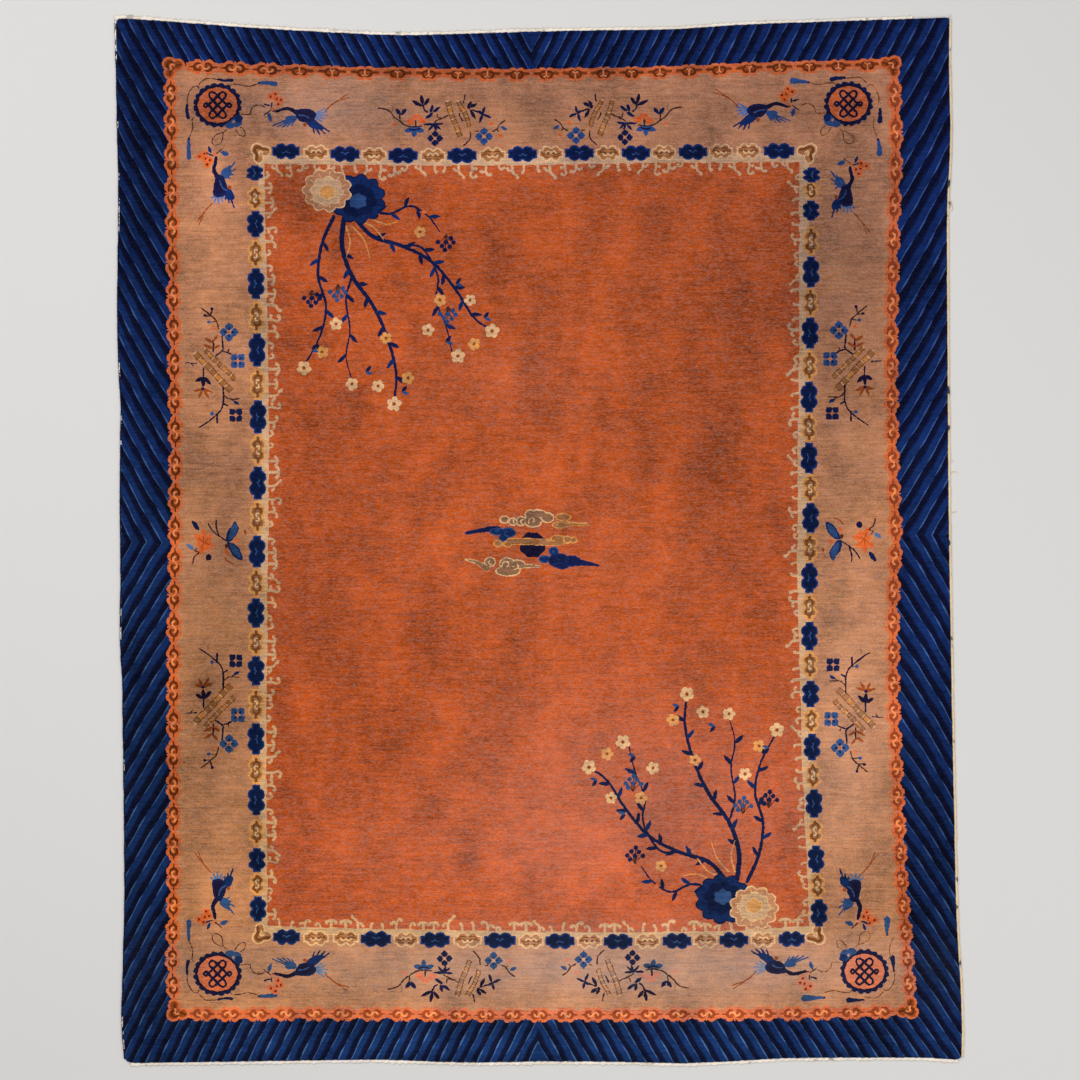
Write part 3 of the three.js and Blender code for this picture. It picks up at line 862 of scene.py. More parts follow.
def side_spray(pen):
    """The blossom, leaves and bamboo of the long sides."""
    pen.line("walnut", [(201, 308), (206, 311.6), (211, 316), (216.4, 321), (218.4, 329)], 1.5)
    pen.line("walnut", [(210.4, 315), (211.8, 309.6)], 1.8)
    pen.line("walnut", [(205.4, 316), (210.6, 316)], 1.4)
    pen.dot("navy", 212, 308.6, 1.8)
    pen.dot("ink", 204.8, 315.6, 2.0, 1.6)
    pen.dot("mid_blue", 209, 322, 2.2, 1.8)
    pen.line("walnut", [(211, 322), (217.4, 321.4)], 1.1)
    pen.dot("poppy", 213.4, 328.4, 2.6, 1.4)
    four_petals(pen, "mid_blue", 229, 332.2, 8.0, "rust")
    pen.line("ink", [(213, 340), (213.4, 347), (213.2, 352.4)], 1.7)
    for root, tip in (((213, 343), (204.6, 337.6)), ((213.4, 341), (217.6, 335.6)),
                      ((213, 349), (203.6, 344.4)), ((213.6, 348.6), (220.4, 344.6))):
        pen.leaf("rust", root, tip, 3.0)
    pen.line("ink", [(222, 336), (222.6, 344), (223, 350), (219, 353.4), (215, 356)], 1.7)
    pen.line("ink", [(223, 351.4), (228, 352.6), (231.4, 354.6)], 1.7)
    pen.line("ink", [(227.6, 352), (229.4, 348.8)], 1.3)
    four_petals(pen, "mid_blue", 237.8, 361, 7.6, "orange", math.pi / 4)
    bamboo(pen, [(195, 353), (200, 359), (209, 367), (218, 377.6), (225, 385), (231.4, 391)], 6.4)
    bamboo(pen, [(204.6, 349), (209, 354), (216, 361), (224, 368.6), (230, 374), (235, 380)], 5.0)
    pen.line("ink", [(185.6, 362.6), (191, 363), (197, 363.4)], 1.3)
    pen.line("ink", [(190.6, 363.2), (193.4, 366)], 1.1)
    pen.line("ink", [(203.4, 368), (203.6, 374), (203.2, 381)], 1.7)
    for root, tip, wide in (((203, 377.4), (195.6, 381.6), 4.0), ((204, 377.4), (211, 384.6), 4.2),
                            ((203.4, 377), (203, 387), 4.4)):
        pen.leaf("ink", root, tip, wide)
    for tip in ((193.6, 391.4), (198.6, 398), (209, 398.4), (213, 392.6)):
        pen.leaf("rust", (203, 388.6), tip, 3.0)
    pen.dot("navy", 202.8, 388.8, 2.0, 1.6)
    pen.line("ink", [(223, 387), (223.4, 396), (223, 404), (220, 411.4), (214, 417), (207, 422.4),
                     (199, 427.6)], 1.8, 1.4)
    pen.line("walnut", [(223.4, 394.6), (229, 399), (240, 398.8)], 1.3)
    pen.line("walnut", [(231.4, 399), (236, 403.4)], 1.3)
    pen.leaf("blue", (233.6, 401), (239.4, 404.6), 3.4)
    pen.line("ink", [(223, 403), (228, 406)], 1.7)
    pen.line("ink", [(217, 414), (217, 423)], 1.9)
    pen.dot("mid_blue", 212.2, 413.8, 2.2, 2.0)
    pen.line("walnut", [(214, 414), (218, 413)], 1.1)
    four_petals(pen, "navy", 235.8, 415.2, 7.0, "orange", math.pi / 4)
    pen.line("ochre", [(208, 426), (208, 430)], 1.3)


FLOWER = (203.6, 543)


def flower_and_butterfly(pen):
    """The flower and butterfly in the middle of a long side."""
    x, y = FLOWER
    for turn, reach in ((0.25, 12), (1.0, 10), (1.9, 12), (2.9, 7), (3.9, 13), (4.7, 14), (5.5, 12)):
        pen.leaf("poppy", FLOWER, (x + reach * math.cos(turn), y + reach * math.sin(turn)), 6.0)
    for turn in (0.25, 1.9, 3.9, 4.7, 5.5):
        pen.line("rust", [FLOWER, (x + 7 * math.cos(turn), y + 7 * math.sin(turn))], 1.0)
    pen.leaf("navy", (192.4, 521), (199, 530.4), 5.0)
    pen.leaf("light_blue", (186.8, 544), (194, 549.6), 4.2)
    pen.line("walnut", [(194, 550), (199, 552.6), (194, 557), (192.6, 564)], 1.4)
    pen.line("walnut", [(195, 552), (197, 547.6)], 1.2)
    pen.dot("ink", 208.6, 557.4, 3.0, 3.4)
    pen.line("ink", [(226.6, 541), (219, 536), (212, 530), (208, 523)], 1.5)
    pen.line("ink", [(219, 536), (216.4, 528), (216.2, 520)], 1.5)
    pen.patch("blue", [(226, 541), (227.6, 531), (232, 526), (234.6, 521), (238.6, 528), (236, 535),
                       (230, 542)])
    pen.patch("mid_blue", [(229, 540), (230, 531), (234.4, 523), (237.6, 529), (233.6, 537)])
    pen.patch("blue", [(227, 543), (232, 543), (239, 548), (243, 559.6), (235.6, 558), (229.6, 550)])
    pen.patch("mid_blue", [(230, 544.4), (235, 546), (239, 551), (241, 558), (235, 555), (231, 549)])
    pen.dot("orange", 237, 540.4, 3.6, 2.4)
    pen.dot("orange", 227, 552, 2.2, 3.4)
    pen.dot("rust", 245, 532, 1.5, 2.6)
    pen.line("rust", [(224.4, 557), (228.6, 562), (234, 564)], 1.6)
    pen.dot("umber", 226.4, 546, 1.9, 2.6)


def peony(pen, x, y, size, outer, inner, edge, heart):
    """A large open flower seen from the front, with ring within ring of scalloped petals."""
    rings = [(1.0, 0.9, 0.0, 11, 0.1, 0.0, 1.5, outer), (0.68, 0.6, 0.05, 8, 0.12, 0.3, 1.2, inner),
             (0.36, 0.32, 0.08, 6, 0.14, 0.0, 1.1, heart)]
    for across, along, drop, bumps, depth, turn, less, fill in rings:
        low = y + size * drop
        pen.cloud(edge, x, low, size * across, size * along, bumps, depth, turn)
        pen.cloud(fill, x, low, size * across - less, size * along - less, bumps, depth, turn)
    for i in range(11):
        t = 2 * math.pi * (i + 0.5) / 11
        pen.line(edge, [(x + size * 0.62 * math.cos(t), y + size * 0.56 * math.sin(t)),
                        (x + size * 0.84 * math.cos(t), y + size * 0.76 * math.sin(t))], 1.0)


BERRIES = [(-8, 2), (-4, 6), (0, 2.4), (3.6, 6.6), (7.6, 2.6), (-1, 10), (5, -1.6)]


def berries(pen, x, y, yarn):
    """A hanging bunch of berries on thin stalks."""
    for dx, dy in BERRIES:
        pen.line("walnut", [(x, y - 6), (x + dx * 0.6, y + dy * 0.4), (x + dx, y + dy)], 0.9)
    for dx, dy in BERRIES:
        pen.dot(yarn, x + dx, y + dy, 2.5)


def leafy_stem(pen, points, width, leaves):
    """A curving stem that carries pointed leaves on both sides by turns."""
    curve = resampled(smoothed(points, False), 1.0, False)
    pen.line("navy", points, width, max(1.2, width * 0.45))
    for i in range(leaves):
        spot = int(len(curve) * (0.18 + 0.76 * i / leaves))
        a, b = curve[spot], curve[min(spot + 3, len(curve) - 1)]
        way = (b - a) / max(1e-6, np.hypot(*(b - a)))
        side = np.array([-way[1], way[0]]) * (1 if i % 2 else -1)
        tip = a + way * 7.5 + side * 8.5
        pen.leaf("blue" if i % 3 == 1 else "navy", a, tip, 4.2)


def bouquet(pen):
    """A bouquet for a corner of the field: two peonies, arching leafy stems, blossoms and berries."""
    stems = [
        ([(352, 214), (372, 236), (402, 246), (432, 262), (456, 290), (474, 318), (492, 330)], 4.6, 9),
        ([(344, 218), (342, 246), (352, 276), (372, 304), (386, 334), (396, 372), (394, 404)], 5.2, 9),
        ([(334, 216), (322, 244), (318, 276), (326, 306), (320, 336), (304, 366)], 3.8, 7),
        ([(362, 206), (388, 214), (410, 206), (428, 216), (440, 232)], 3.2, 5),
        ([(402, 246), (422, 248), (438, 276), (436, 300), (446, 326), (452, 352)], 2.6, 5),
        ([(352, 276), (346, 300), (350, 330), (346, 356), (352, 380)], 2.4, 4),
    ]
    for points, width, leaves in stems:
        leafy_stem(pen, points, width, leaves)
    for points in ([(358, 222), (372, 226), (384, 240)], [(352, 226), (364, 240), (370, 258)],
                   [(366, 216), (384, 224), (398, 222)], [(346, 226), (350, 242), (346, 258)]):
        pen.line("gold", points, 1.8, 0.9)
    peony(pen, 358, 199, 27, "blue", "deep_blue", "navy", "mid_blue")
    peony(pen, 327, 190, 24, "camel", "beige", "cream", "gold")
    for x, y, size, yarn in ((492, 331, 8, "cream"), (474, 344, 7, "gold"), (458, 356, 8, "cream"),
                             (394, 404, 8, "cream"), (408, 378, 7, "gold"), (378, 386, 7, "cream"),
                             (304, 368, 8, "cream"), (322, 352, 7, "gold"), (352, 384, 7, "cream"),
                             (440, 300, 7, "gold"), (470, 300, 6.5, "cream"), (336, 324, 7, "cream"),
                             (420, 232, 6.5, "gold"), (386, 338, 6.5, "gold"), (428, 330, 7, "cream")):
        blossom(pen, yarn, x, y, size, 0.4 + x)
    for x, y in ((484, 318), (446, 342), (402, 392), (312, 350), (366, 372), (456, 284)):
        pen.leaf("navy", (x, y), (x + 5, y - 6), 3.8)
        pen.leaf("mid_blue", (x, y), (x + 7, y + 2), 3.2)
    for x, y, yarn in ((312, 296, "navy"), (338, 290, "mid_blue"), (446, 240, "navy"),
                       (448, 312, "mid_blue")):
        berries(pen, x, y, yarn)
    for x, y in ((424, 212), (412, 352), (330, 334)):
        pen.dot("orange", x, y, 2.6, 2.2)


def drifting_cloud(pen, edge, heart, spots, tails, scrolls):
    """A drifting cloud of lobes and tapering tails, with an edge of one yarn and a heart of another."""
    for less, yarn in ((0.0, edge), (1.3, heart)):
        for points, wide, thin in tails:
            pen.line(yarn, points, wide - less * 1.6, max(0.7, thin - less * 0.6))
        lobes(pen, yarn, spots, less)
    for scroll in scrolls:
        pen.line(edge, scroll, 1.2)


def curl(x, y, size, turn, way=1):
    """A spiral line, for the inside of a cloud."""
    sizes = [size * (1 - 0.11 * i) for i in range(8)]
    turns = [turn + 0.75 * i for i in range(8)]
    return [(x + way * r * math.cos(t), y + r * math.sin(t)) for r, t in zip(sizes, turns)]


# The clouds in the middle of the field, in the order they lie: edge and heart, lobes, tails with
# their widths, and the scrolls inside.
DRIFTING = [
    ("gold", "bronze", [(563, 517, 8.4, 4.2), (560, 525, 8.6, 3.8)],
     [([(560, 525), (576, 524.4), (590, 525)], 5.0, 1.6)],
     [[(566, 521), (574, 522.6), (588, 523)], [(556, 526), (559, 522.6)]]),
    ("cream", "dun", [(504.6, 519.6, 5.4, 4.2), (513, 521.6, 4.6, 4.4), (521, 521, 5.6, 5.4),
                      (533, 521, 9.6, 6.8), (530, 514.6, 5.6, 5.6), (538, 514, 9.4, 4.8),
                      (547.6, 517.6, 7.0, 5.6)],
     [],
     [curl(532.6, 521, 4.6, 2.4), [(514, 524), (513.4, 519.4), (516.6, 519)],
      [(522, 525), (520.6, 520.6), (524, 519.6)], [(540, 518), (546, 522.6)], [(507, 523), (509.6, 518)]]),
    ("blue", "navy", [], [([(466, 533), (480, 530.6), (494, 528.6), (500, 530)], 3.6, 6.0)], []),
    ("mid_blue", "blue", [(497.6, 531.6, 8.6, 4.0), (507.6, 532.8, 8.6, 5.4), (504.6, 537.6, 6.4, 4.2)],
     [],
     [curl(507, 533, 3.6, 1.0), curl(497, 532, 2.6, 3.4, -1)]),
    ("gold", "bronze", [(498, 543.6, 4.8, 3.8), (507.4, 544.4, 5.2, 3.2), (557.6, 538.8, 7.6, 4.0),
                        (567.4, 539.6, 5.0, 4.2), (573.6, 540, 4.0, 3.8)],
     [([(508, 541.6), (524, 541.4), (540, 542), (562, 542.6)], 7.4, 6.4)],
     [[(505, 546), (503.6, 542.6), (507, 541)], [(546, 540.6), (556, 540.6)], [(563, 537), (564.6, 542)]]),
    ("mid_blue", "blue", [(553.6, 551.4, 5.2, 5.0), (544.4, 559, 6.0, 4.2)],
     [],
     [curl(553.6, 551.6, 2.4, 0.5)]),
    ("blue", "navy", [(559, 560.6, 11, 7.6), (571.6, 561, 9.6, 5.8), (562, 566, 7, 3.6)],
     [([(574, 562), (588, 563.6), (599, 565.4)], 8.0, 2.2)],
     [curl(558.6, 558, 4.2, 3.6, -1), curl(568, 559.6, 3.2, 1.6), [(552, 566), (560, 563), (570, 566.6)]]),
    ("cream", "dun", [(490, 562, 6.0, 5.4), (507, 563.6, 8.2, 6.6), (518, 564, 7.6, 4.8),
                      (508, 571, 13, 5.8)],
     [([(465.6, 559.6), (476, 562), (488, 569)], 2.2, 6.6),
      ([(516, 567), (528, 566), (541, 566.6)], 6.0, 1.8)],
     [curl(506.6, 565, 5.2, 2.6), curl(491, 563, 3.0, 5.0, -1),
      [(514, 569.6), (518.6, 567.6), (517, 563.6)]]),
]


def disc_and_clouds(pen):
    """The dark eight-sided disc behind drifting clouds in the middle of the field."""
    turns = np.linspace(math.pi / 8, math.pi * 17 / 8, 9)[:-1]
    pen.sharp("ink", [(532.6 + 13.9 * math.cos(t), 544.8 + 13.4 * math.sin(t)) for t in turns])
    for cloud in DRIFTING:
        drifting_cloud(pen, *cloud)


# Where the motifs stand: the place of the one that is drawn, then of each one, in the order of FLIPS
ROUNDEL = (217.6, 105.2)
ROUNDELS = [(217.6, 105.2), (848.4, 103.8), (217.6, 973.7), (864.5, 971.5)]
END_SPRAY = (442.5, 120)
END_SPRAYS = [(442.5, 120), (617.5, 119), (452, 977), (625, 976)]
SIDE_SPRAY = (217, 367)
SIDE_SPRAYS = [(217, 367), (851, 365), (217, 709), (852, 713)]
BUTTERFLY = (215, 541)
OTHER_BUTTERFLY = (853, 541)
BOUQUET = (345, 200)
OTHER_BOUQUET = (736, 898)

# How far the flying crane and the rising crane of each corner stand from where the drawn ones do
CRANE_MOVES = [((0, 0), (0, 0)), ((-3, -3.5), (0, 11)), ((0, 6), (-1, -3)), ((-1, 6), (-8, 0))]


def lay_motifs():
    """The motifs of the main border and the field, mirrored into their places."""
    for (x, y), moves, flip in zip(ROUNDELS, CRANE_MOVES, FLIPS):
        roundel(Pen(main_border, at=(x, y), flip=flip), x > CHART_MIDDLE, y > CHART_MIDDLE)
        for crane, (dx, dy) in zip((flying_crane, rising_crane), moves):
            crane(Pen(main_border, at=(x + dx, y + dy), start=ROUNDEL, flip=flip))
    for spray, start, places in ((end_spray, END_SPRAY, END_SPRAYS), (side_spray, SIDE_SPRAY, SIDE_SPRAYS)):
        for at, flip in zip(places, FLIPS):
            spray(Pen(main_border, at=at, start=start, flip=flip))
    flower_and_butterfly(Pen(main_border, at=BUTTERFLY, start=BUTTERFLY))
    flower_and_butterfly(Pen(main_border, at=OTHER_BUTTERFLY, start=BUTTERFLY, flip=(-1, -1)))
    disc_and_clouds(Pen(field))
    bouquet(Pen(field))
    bouquet(Pen(field, at=OTHER_BOUQUET, start=BOUQUET, flip=(-1, -1)))


lay_motifs()


# Where the zones of the pile meet
def loop_of_node(name):
    """The outline of a solid's underside, as a chart loop, found where a face that looks down meets
    one that doesn't."""
    mesh = bmesh.new()
    mesh.from_mesh(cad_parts[name].data)
    bmesh.ops.remove_doubles(mesh, verts=mesh.verts, dist=1e-5)
    mesh.normal_update()
    after = {}
    for edge in mesh.edges:
        ups = [face.normal.z for face in edge.link_faces]
        if len(ups) == 2 and min(ups) < -0.9 and max(ups) > -0.5:
            a, b = edge.verts
            after.setdefault(a.index, []).append(b.index)
            after.setdefault(b.index, []).append(a.index)
    mesh.verts.ensure_lookup_table()
    start = next(iter(after))
    loop, last = [start], None
    while True:
        step = [v for v in after[loop[-1]] if v != last]
        last = loop[-1]
        if not step or step[0] == start:
            break
        loop.append(step[0])
    points = [mesh.verts[v].co for v in loop]
    chart = np.array([(p.x / KNOT + CHART_X, CHART_Y - p.y / KNOT) for p in points])
    mesh.free()
    return chart


def inset_ring(top, right, bottom, left, inset):
    """A ring through four sides, moved inwards. Each side's ends give way to the next side."""
    def inner(line, dx, dy, axis, low, high):
        p = resampled(line, RING_STEP, False) + np.array([dx, dy])
        keep = (p[:, axis] > low + RING_STEP / 2) & (p[:, axis] < high - RING_STEP / 2)
        return p[keep]
    corners = [np.array(top[0]) + inset, np.array(right[0]) + (-inset, inset),
               np.array(bottom[-1]) - inset, np.array(left[-1]) + (inset, -inset)]
    sides = [inner(top, 0, inset, 0, corners[0][0], corners[1][0]),
             inner(right, -inset, 0, 1, corners[1][1], corners[2][1]),
             inner(bottom, 0, -inset, 0, corners[3][0], corners[2][0])[::-1],
             inner(left, inset, 0, 1, corners[0][1], corners[3][1])[::-1]]
    parts = []
    for corner, side in zip(corners, sides):
        parts += [corner[None, :], side]
    return np.vstack(parts), corners


# How far the pile bulges out over the left side, at places down it, and the chart x left of which
# a place is on that side.
BULGE_Y = [20, 200, 260, 310, 360, 400, 500, 560, 640, 680, 980, 1005, 1062]
BULGE_X = [0.8, 0.8, 2.2, 3.0, 2.4, 0.0, 0.8, 0.0, 1.8, 0.0, 0.0, 1.4, 1.0]
LEFT_SIDE = 130
RIM = loop_of_node("rug_body")
RIM[:, 0] -= np.where(RIM[:, 0] < LEFT_SIDE, np.interp(RIM[:, 1], BULGE_Y, BULGE_X), 0)
rim = resampled(RIM, RIM_STEP, True)
rim += np.array([[rng.uniform(-RIM_STRAY, RIM_STRAY) for _ in (0, 1)] for _ in rim])
BAND_INSET = 9.8
band_ring, band_corners = inset_ring(BAND_TOP, BAND_RIGHT, BAND_BOTTOM, BAND_LEFT, BAND_INSET)
field_ring, field_corners = inset_ring(FIELD_TOP, FIELD_RIGHT, FIELD_BOTTOM, FIELD_LEFT, 0.0)
rim_corners = [np.array(p, float) for p in ((100, 0), (966, 0), (980, 1080), (104, 1080))]

# Where the halves of the sides meet
MIDDLE = (535.0, 540.5)


def winding(points, outline):
    """How often an outline goes around each point."""
    x, y = points[:, 0], points[:, 1]
    total = np.zeros(len(points), int)
    for (ax, ay), (bx, by) in zip(outline, np.roll(outline, -1, axis=0)):
        if ay == by:
            continue
        up = (ay <= y) & (by > y)
        down = (by <= y) & (ay > y)
        hit = up | down
        if not hit.any():
            continue
        side = (bx - ax) * (y[hit] - ay) - (x[hit] - ax) * (by - ay)
        turn = np.where(up[hit], (side > 0).astype(int), -(side < 0).astype(int))
        total[hit] += turn
    return total


def inside(points, outline):
    """Whether each point is inside an outline."""
    return winding(points, outline) != 0


def lay(zone, outer, inner, mitres):
    """Cuts a zone into triangles along every outline in it, and gives each one its yarn."""
    coords, edges = [], []

    def take(points, closed=True):
        first = len(coords)
        coords.extend((float(x), float(y)) for x, y in points)
        count = len(points)
        edges.extend((first + i, first + i + 1) for i in range(count - 1))
        if closed:
            edges.append((first + count - 1, first))

    take(outer)
    if inner is not None:
        take(inner)
    for line in mitres:
        take(resampled(line, MITRE_STEP, False), False)
    for yarn, outline in zone.shapes:
        take(outline)
    low, high = outer.min(axis=0), outer.max(axis=0)
    grid_x, grid_y = np.arange(low[0], high[0], GRID_STEP), np.arange(low[1], high[1], GRID_STEP)
    grid = np.array([(x + rng.uniform(-GRID_STRAY, GRID_STRAY), y + rng.uniform(-GRID_STRAY, GRID_STRAY))
                     for x in grid_x for y in grid_y])
    near = inside(grid, outer)
    if inner is not None:
        near &= ~inside(grid, inner)
    coords.extend((float(x), float(y)) for x, y in grid[near])
    verts, _, faces, _, _, _ = delaunay_2d_cdt([Vector(c) for c in coords], edges, [], 0, 1e-4, False)
    verts = np.array([(v.x, v.y) for v in verts])
    faces = np.array([f for f in faces if len(f) == 3])
    centres = verts[faces].mean(axis=1)
    keep = inside(centres, outer)
    if inner is not None:
        keep &= ~inside(centres, inner)
    faces, centres = faces[keep], centres[keep]
    yarns = np.full(len(faces), zone.ground, dtype=object)
    order = np.argsort(centres[:, 0])
    sorted_x = centres[order, 0]
    for yarn, outline in zone.shapes:
        (x0, y0), (x1, y1) = outline.min(axis=0), outline.max(axis=0)
        span = order[np.searchsorted(sorted_x, x0):np.searchsorted(sorted_x, x1)]
        span = span[(centres[span, 1] > y0) & (centres[span, 1] < y1)]
        if len(span):
            yarns[span[inside(centres[span], outline)]] = yarn
    return verts, faces, centres, yarns


def rim_distance(points):
    """How far each chart place is from the rug's rim."""
    out = np.full(len(points), math.inf)
    for a, b in zip(rim, np.roll(rim, -1, axis=0)):
        way = b - a
        t = np.clip(((points - a) @ way) / max(1e-9, way @ way), 0, 1)
        out = np.minimum(out, np.hypot(*(points - a - t[:, None] * way).T))
    return out


def pile_height(points, near_rim):
    """The height of the pile: a little uneven, worn down at the rim and along the middle fold."""
    x, y = points[:, 0], points[:, 1]
    wide = np.sin(x / 125 + 0.7) * np.cos(y / 162 - 0.4)
    narrow = np.sin(x / 52 - 1.3) * np.cos(y / 64 + 2.1)
    z = PILE_TOP + PILE_WAVES * (0.6 * wide + 0.4 * narrow)
    z -= FOLD_DEEP * np.exp(-((x - FOLD_X) / FOLD_HALF) ** 2)
    if near_rim is not None:
        z -= PILE_WORN * np.exp(-near_rim / RIM_WEAR)
    return z


# A ring's picture map: its eight half sides lie as strips, one above another. Each row of numbers is
# where a strip starts along x and y, where the top, right, bottom and left one's lower edge is, and
# how wide they are.
STRIP_START = (100, 4)
STRIP_LONG = 556.0
STRIP_ROWS = 9.0
BORDER_STRIP = ((12, 876, 996, 108), 92.0)
MAIN_STRIP = ((74, 792, 922, 174), 104.0)


def strip_rows(centres, outer_corners, inner_corners):
    """Which half side of a ring each place is in."""
    rows = np.zeros(len(centres), int)
    for side in range(4):
        a, b = outer_corners[side], outer_corners[(side + 1) % 4]
        c, d = inner_corners[(side + 1) % 4], inner_corners[side]
        here = inside(centres, np.array([a, b, c, d]))
        across = side % 2
        rows[here] = side * 2 + (centres[here, across] > MIDDLE[across]).astype(int)
    return rows


def strip_place(points, row, strip):
    """A place in a ring's strip, as a share of the picture."""
    lows, wide = strip
    side, far_half = divmod(row, 2)
    across = side % 2
    start = STRIP_START[across]
    along = points[:, across] - start - far_half * (MIDDLE[across] - start)
    over = points[:, 1 - across] - lows[side]
    u = 0.006 + along / STRIP_LONG
    v = (row + 0.06 + 0.88 * np.clip(over / wide, 0, 1)) / STRIP_ROWS
    return np.column_stack([u, v])


def wool(name, rgb, streak=0.34, mottle=0.3, knots=0.5, weave=1.0):
    """A matte yarn: its dye uneven from batch to batch, along the rows and from knot to knot, darker or
    lighter where painted shade and light are laid on, and tinted cooler where a painted sheen is laid on.
    """
    material = bpy.data.materials.new(name)
    material.use_nodes = True
    nodes, links = material.node_tree.nodes, material.node_tree.links
    shader = nodes["Principled BSDF"]
    shader.inputs["Roughness"].default_value = 0.95
    shader.inputs["Specular IOR Level"].default_value = 0.02
    where = nodes.new("ShaderNodeTexCoord")

    def noise(across, along, detail):
        """Noise whose blotches are so many knots across and along."""
        mapping = nodes.new("ShaderNodeMapping")
        mapping.inputs["Scale"].default_value = (1 / (across * KNOT), 1 / (along * KNOT), 40)
        texture = nodes.new("ShaderNodeTexNoise")
        texture.inputs["Scale"].default_value = 1.0
        texture.inputs["Detail"].default_value = detail
        links.new(where.outputs["Object"], mapping.inputs["Vector"])
        links.new(mapping.outputs["Vector"], texture.inputs["Vector"])
        return texture.outputs["Fac"]

    def math_node(operation, *values):
        """Any sum of sockets and numbers."""
        node = nodes.new("ShaderNodeMath")
        node.operation = operation
        for socket, value in zip(node.inputs, values):
            if hasattr(value, "is_output"):
                links.new(value, socket)
            else:
                socket.default_value = value
        return node.outputs[0]

    def with_noise(level, fac, gain):
        """The level, higher and lower by half the gain."""
        return math_node("ADD", math_node("MULTIPLY_ADD", fac, gain, -gain / 2), level)

    def painted(attribute):
        node = nodes.new("ShaderNodeAttribute")
        node.attribute_name = attribute
        return node.outputs["Fac"]

    def mixed(factor, a, b):
        """A mix of two colours, or of a colour socket and a colour."""
        node = nodes.new("ShaderNodeMix")
        node.data_type = "RGBA"
        links.new(factor, node.inputs["Factor"])
        if hasattr(a, "is_output"):
            links.new(a, node.inputs["A"])
        else:
            node.inputs["A"].default_value = (*linear(a), 1)
        node.inputs["B"].default_value = (*linear(b), 1)
        return node.outputs["Result"]

    knot_noise = noise(0.8 * weave, 0.8 * weave, 1.0)
    level = with_noise(1.0, knot_noise, knots * 2.6)
    level = with_noise(level, noise(26, 1.5, 3.0), streak * 3.0)
    level = with_noise(level, noise(9, 5, 3.0), mottle * 2.6)
    level = with_noise(level, noise(38, 60, 4.0), mottle * 4.6)
    # Darker or lighter by a vertex attribute: uneven tone together with painted shade and light.
    level = math_node("MULTIPLY", math_node("ADD", painted("tone_and_shade"), 1.0), level)
    # Painted sheen: a cooler, bluer copy of the yarn, mixed in by a vertex attribute and broken up by
    # noise.
    sheen_tint = [rgb[0] * 0.93, rgb[1] * 0.95, rgb[2] * 1.12 + 3]
    dye = nodes.new("ShaderNodeVectorMath")
    dye.operation = "SCALE"
    links.new(mixed(with_noise(painted("painted_sheen"), noise(70, 22, 2.0), 0.9), rgb, sheen_tint), dye.inputs[0])
    links.new(math_node("MAXIMUM", level, DARKEST), dye.inputs["Scale"])
    share = DUST_ON_DARK if sum(rgb) < DARK_YARN else 1.0
    fade = math_node("MULTIPLY", painted("faded"), share)
    dusty = math_node("MULTIPLY_ADD", noise(3.0, 1.1, 2.0), 0.55 * share, -0.55 * share * 0.43)
    worn = mixed(math_node("ADD", dusty, fade), dye.outputs[0], DUST)
    links.new(worn, shader.inputs["Base Color"])
    bump = nodes.new("ShaderNodeBump")
    bump.inputs["Strength"].default_value = 0.35
    bump.inputs["Distance"].default_value = 0.0012
    links.new(knot_noise, bump.inputs["Height"])
    links.new(bump.outputs["Normal"], shader.inputs["Normal"])
    return material


materials = {name: wool(name, rgb) for name, rgb in YARNS.items()}

# Soft patches that make the wool darker or lighter: place, reach across and along, and by how much. Most
# are uneven tone; the narrow dark one down the middle fold is painted shade in the crease, the dark ones
# down the left border are painted shade, and the light one halfway down the right border is painted light.
TONE_AND_SHADE_PATCHES = [
    (727, 450, 20, 60, -0.14), (345, 630, 34, 46, -0.14), (655, 300, 14, 150, -0.06),
    (377, 560, 10, 220, -0.06), (533, 540, 5, 400, -0.16), (430, 610, 120, 30, -0.04),
    (390, 850, 120, 70, 0.08), (640, 720, 100, 60, 0.1), (340, 480, 60, 50, 0.05),
    (700, 560, 60, 50, 0.05), (300, 740, 40, 30, -0.08), (600, 1000, 200, 18, 0.06),
    (760, 640, 30, 60, -0.05), (320, 560, 50, 150, -0.12), (295, 600, 30, 50, -0.2),
    (560, 850, 90, 60, 0.3), (760, 830, 50, 70, 0.14), (690, 340, 34, 70, -0.08),
    (560, 460, 60, 26, 0.07), (400, 470, 70, 40, -0.05), (500, 560, 60, 60, 0.12),
    (560, 660, 60, 30, 0.06), (300, 860, 30, 50, -0.05), (300, 190, 70, 34, -0.22),
    (650, 845, 24, 30, -0.3), (770, 290, 50, 120, -0.26), (700, 490, 24, 60, -0.12),
    (670, 200, 60, 50, -0.12), (440, 250, 60, 40, -0.1), (850, 290, 50, 120, -0.32),
    (852, 700, 40, 140, 0.22), (213, 665, 40, 120, -0.36), (214, 510, 30, 50, -0.16),
    (215, 190, 36, 34, 0.26), (210, 110, 30, 26, -0.3), (205, 968, 36, 28, -0.2),
    (540, 108, 360, 30, -0.14), (800, 108, 80, 34, -0.12), (660, 970, 220, 28, 0.12),
    (535, 1046, 330, 15, 0.85), (140, 200, 20, 140, -0.3), (140, 870, 22, 100, -0.14),
    (935, 875, 22, 110, -0.16), (925, 550, 22, 120, 0.3), (330, 68, 240, 7, -0.2),
    (560, 1014, 330, 7, 0.34),
]

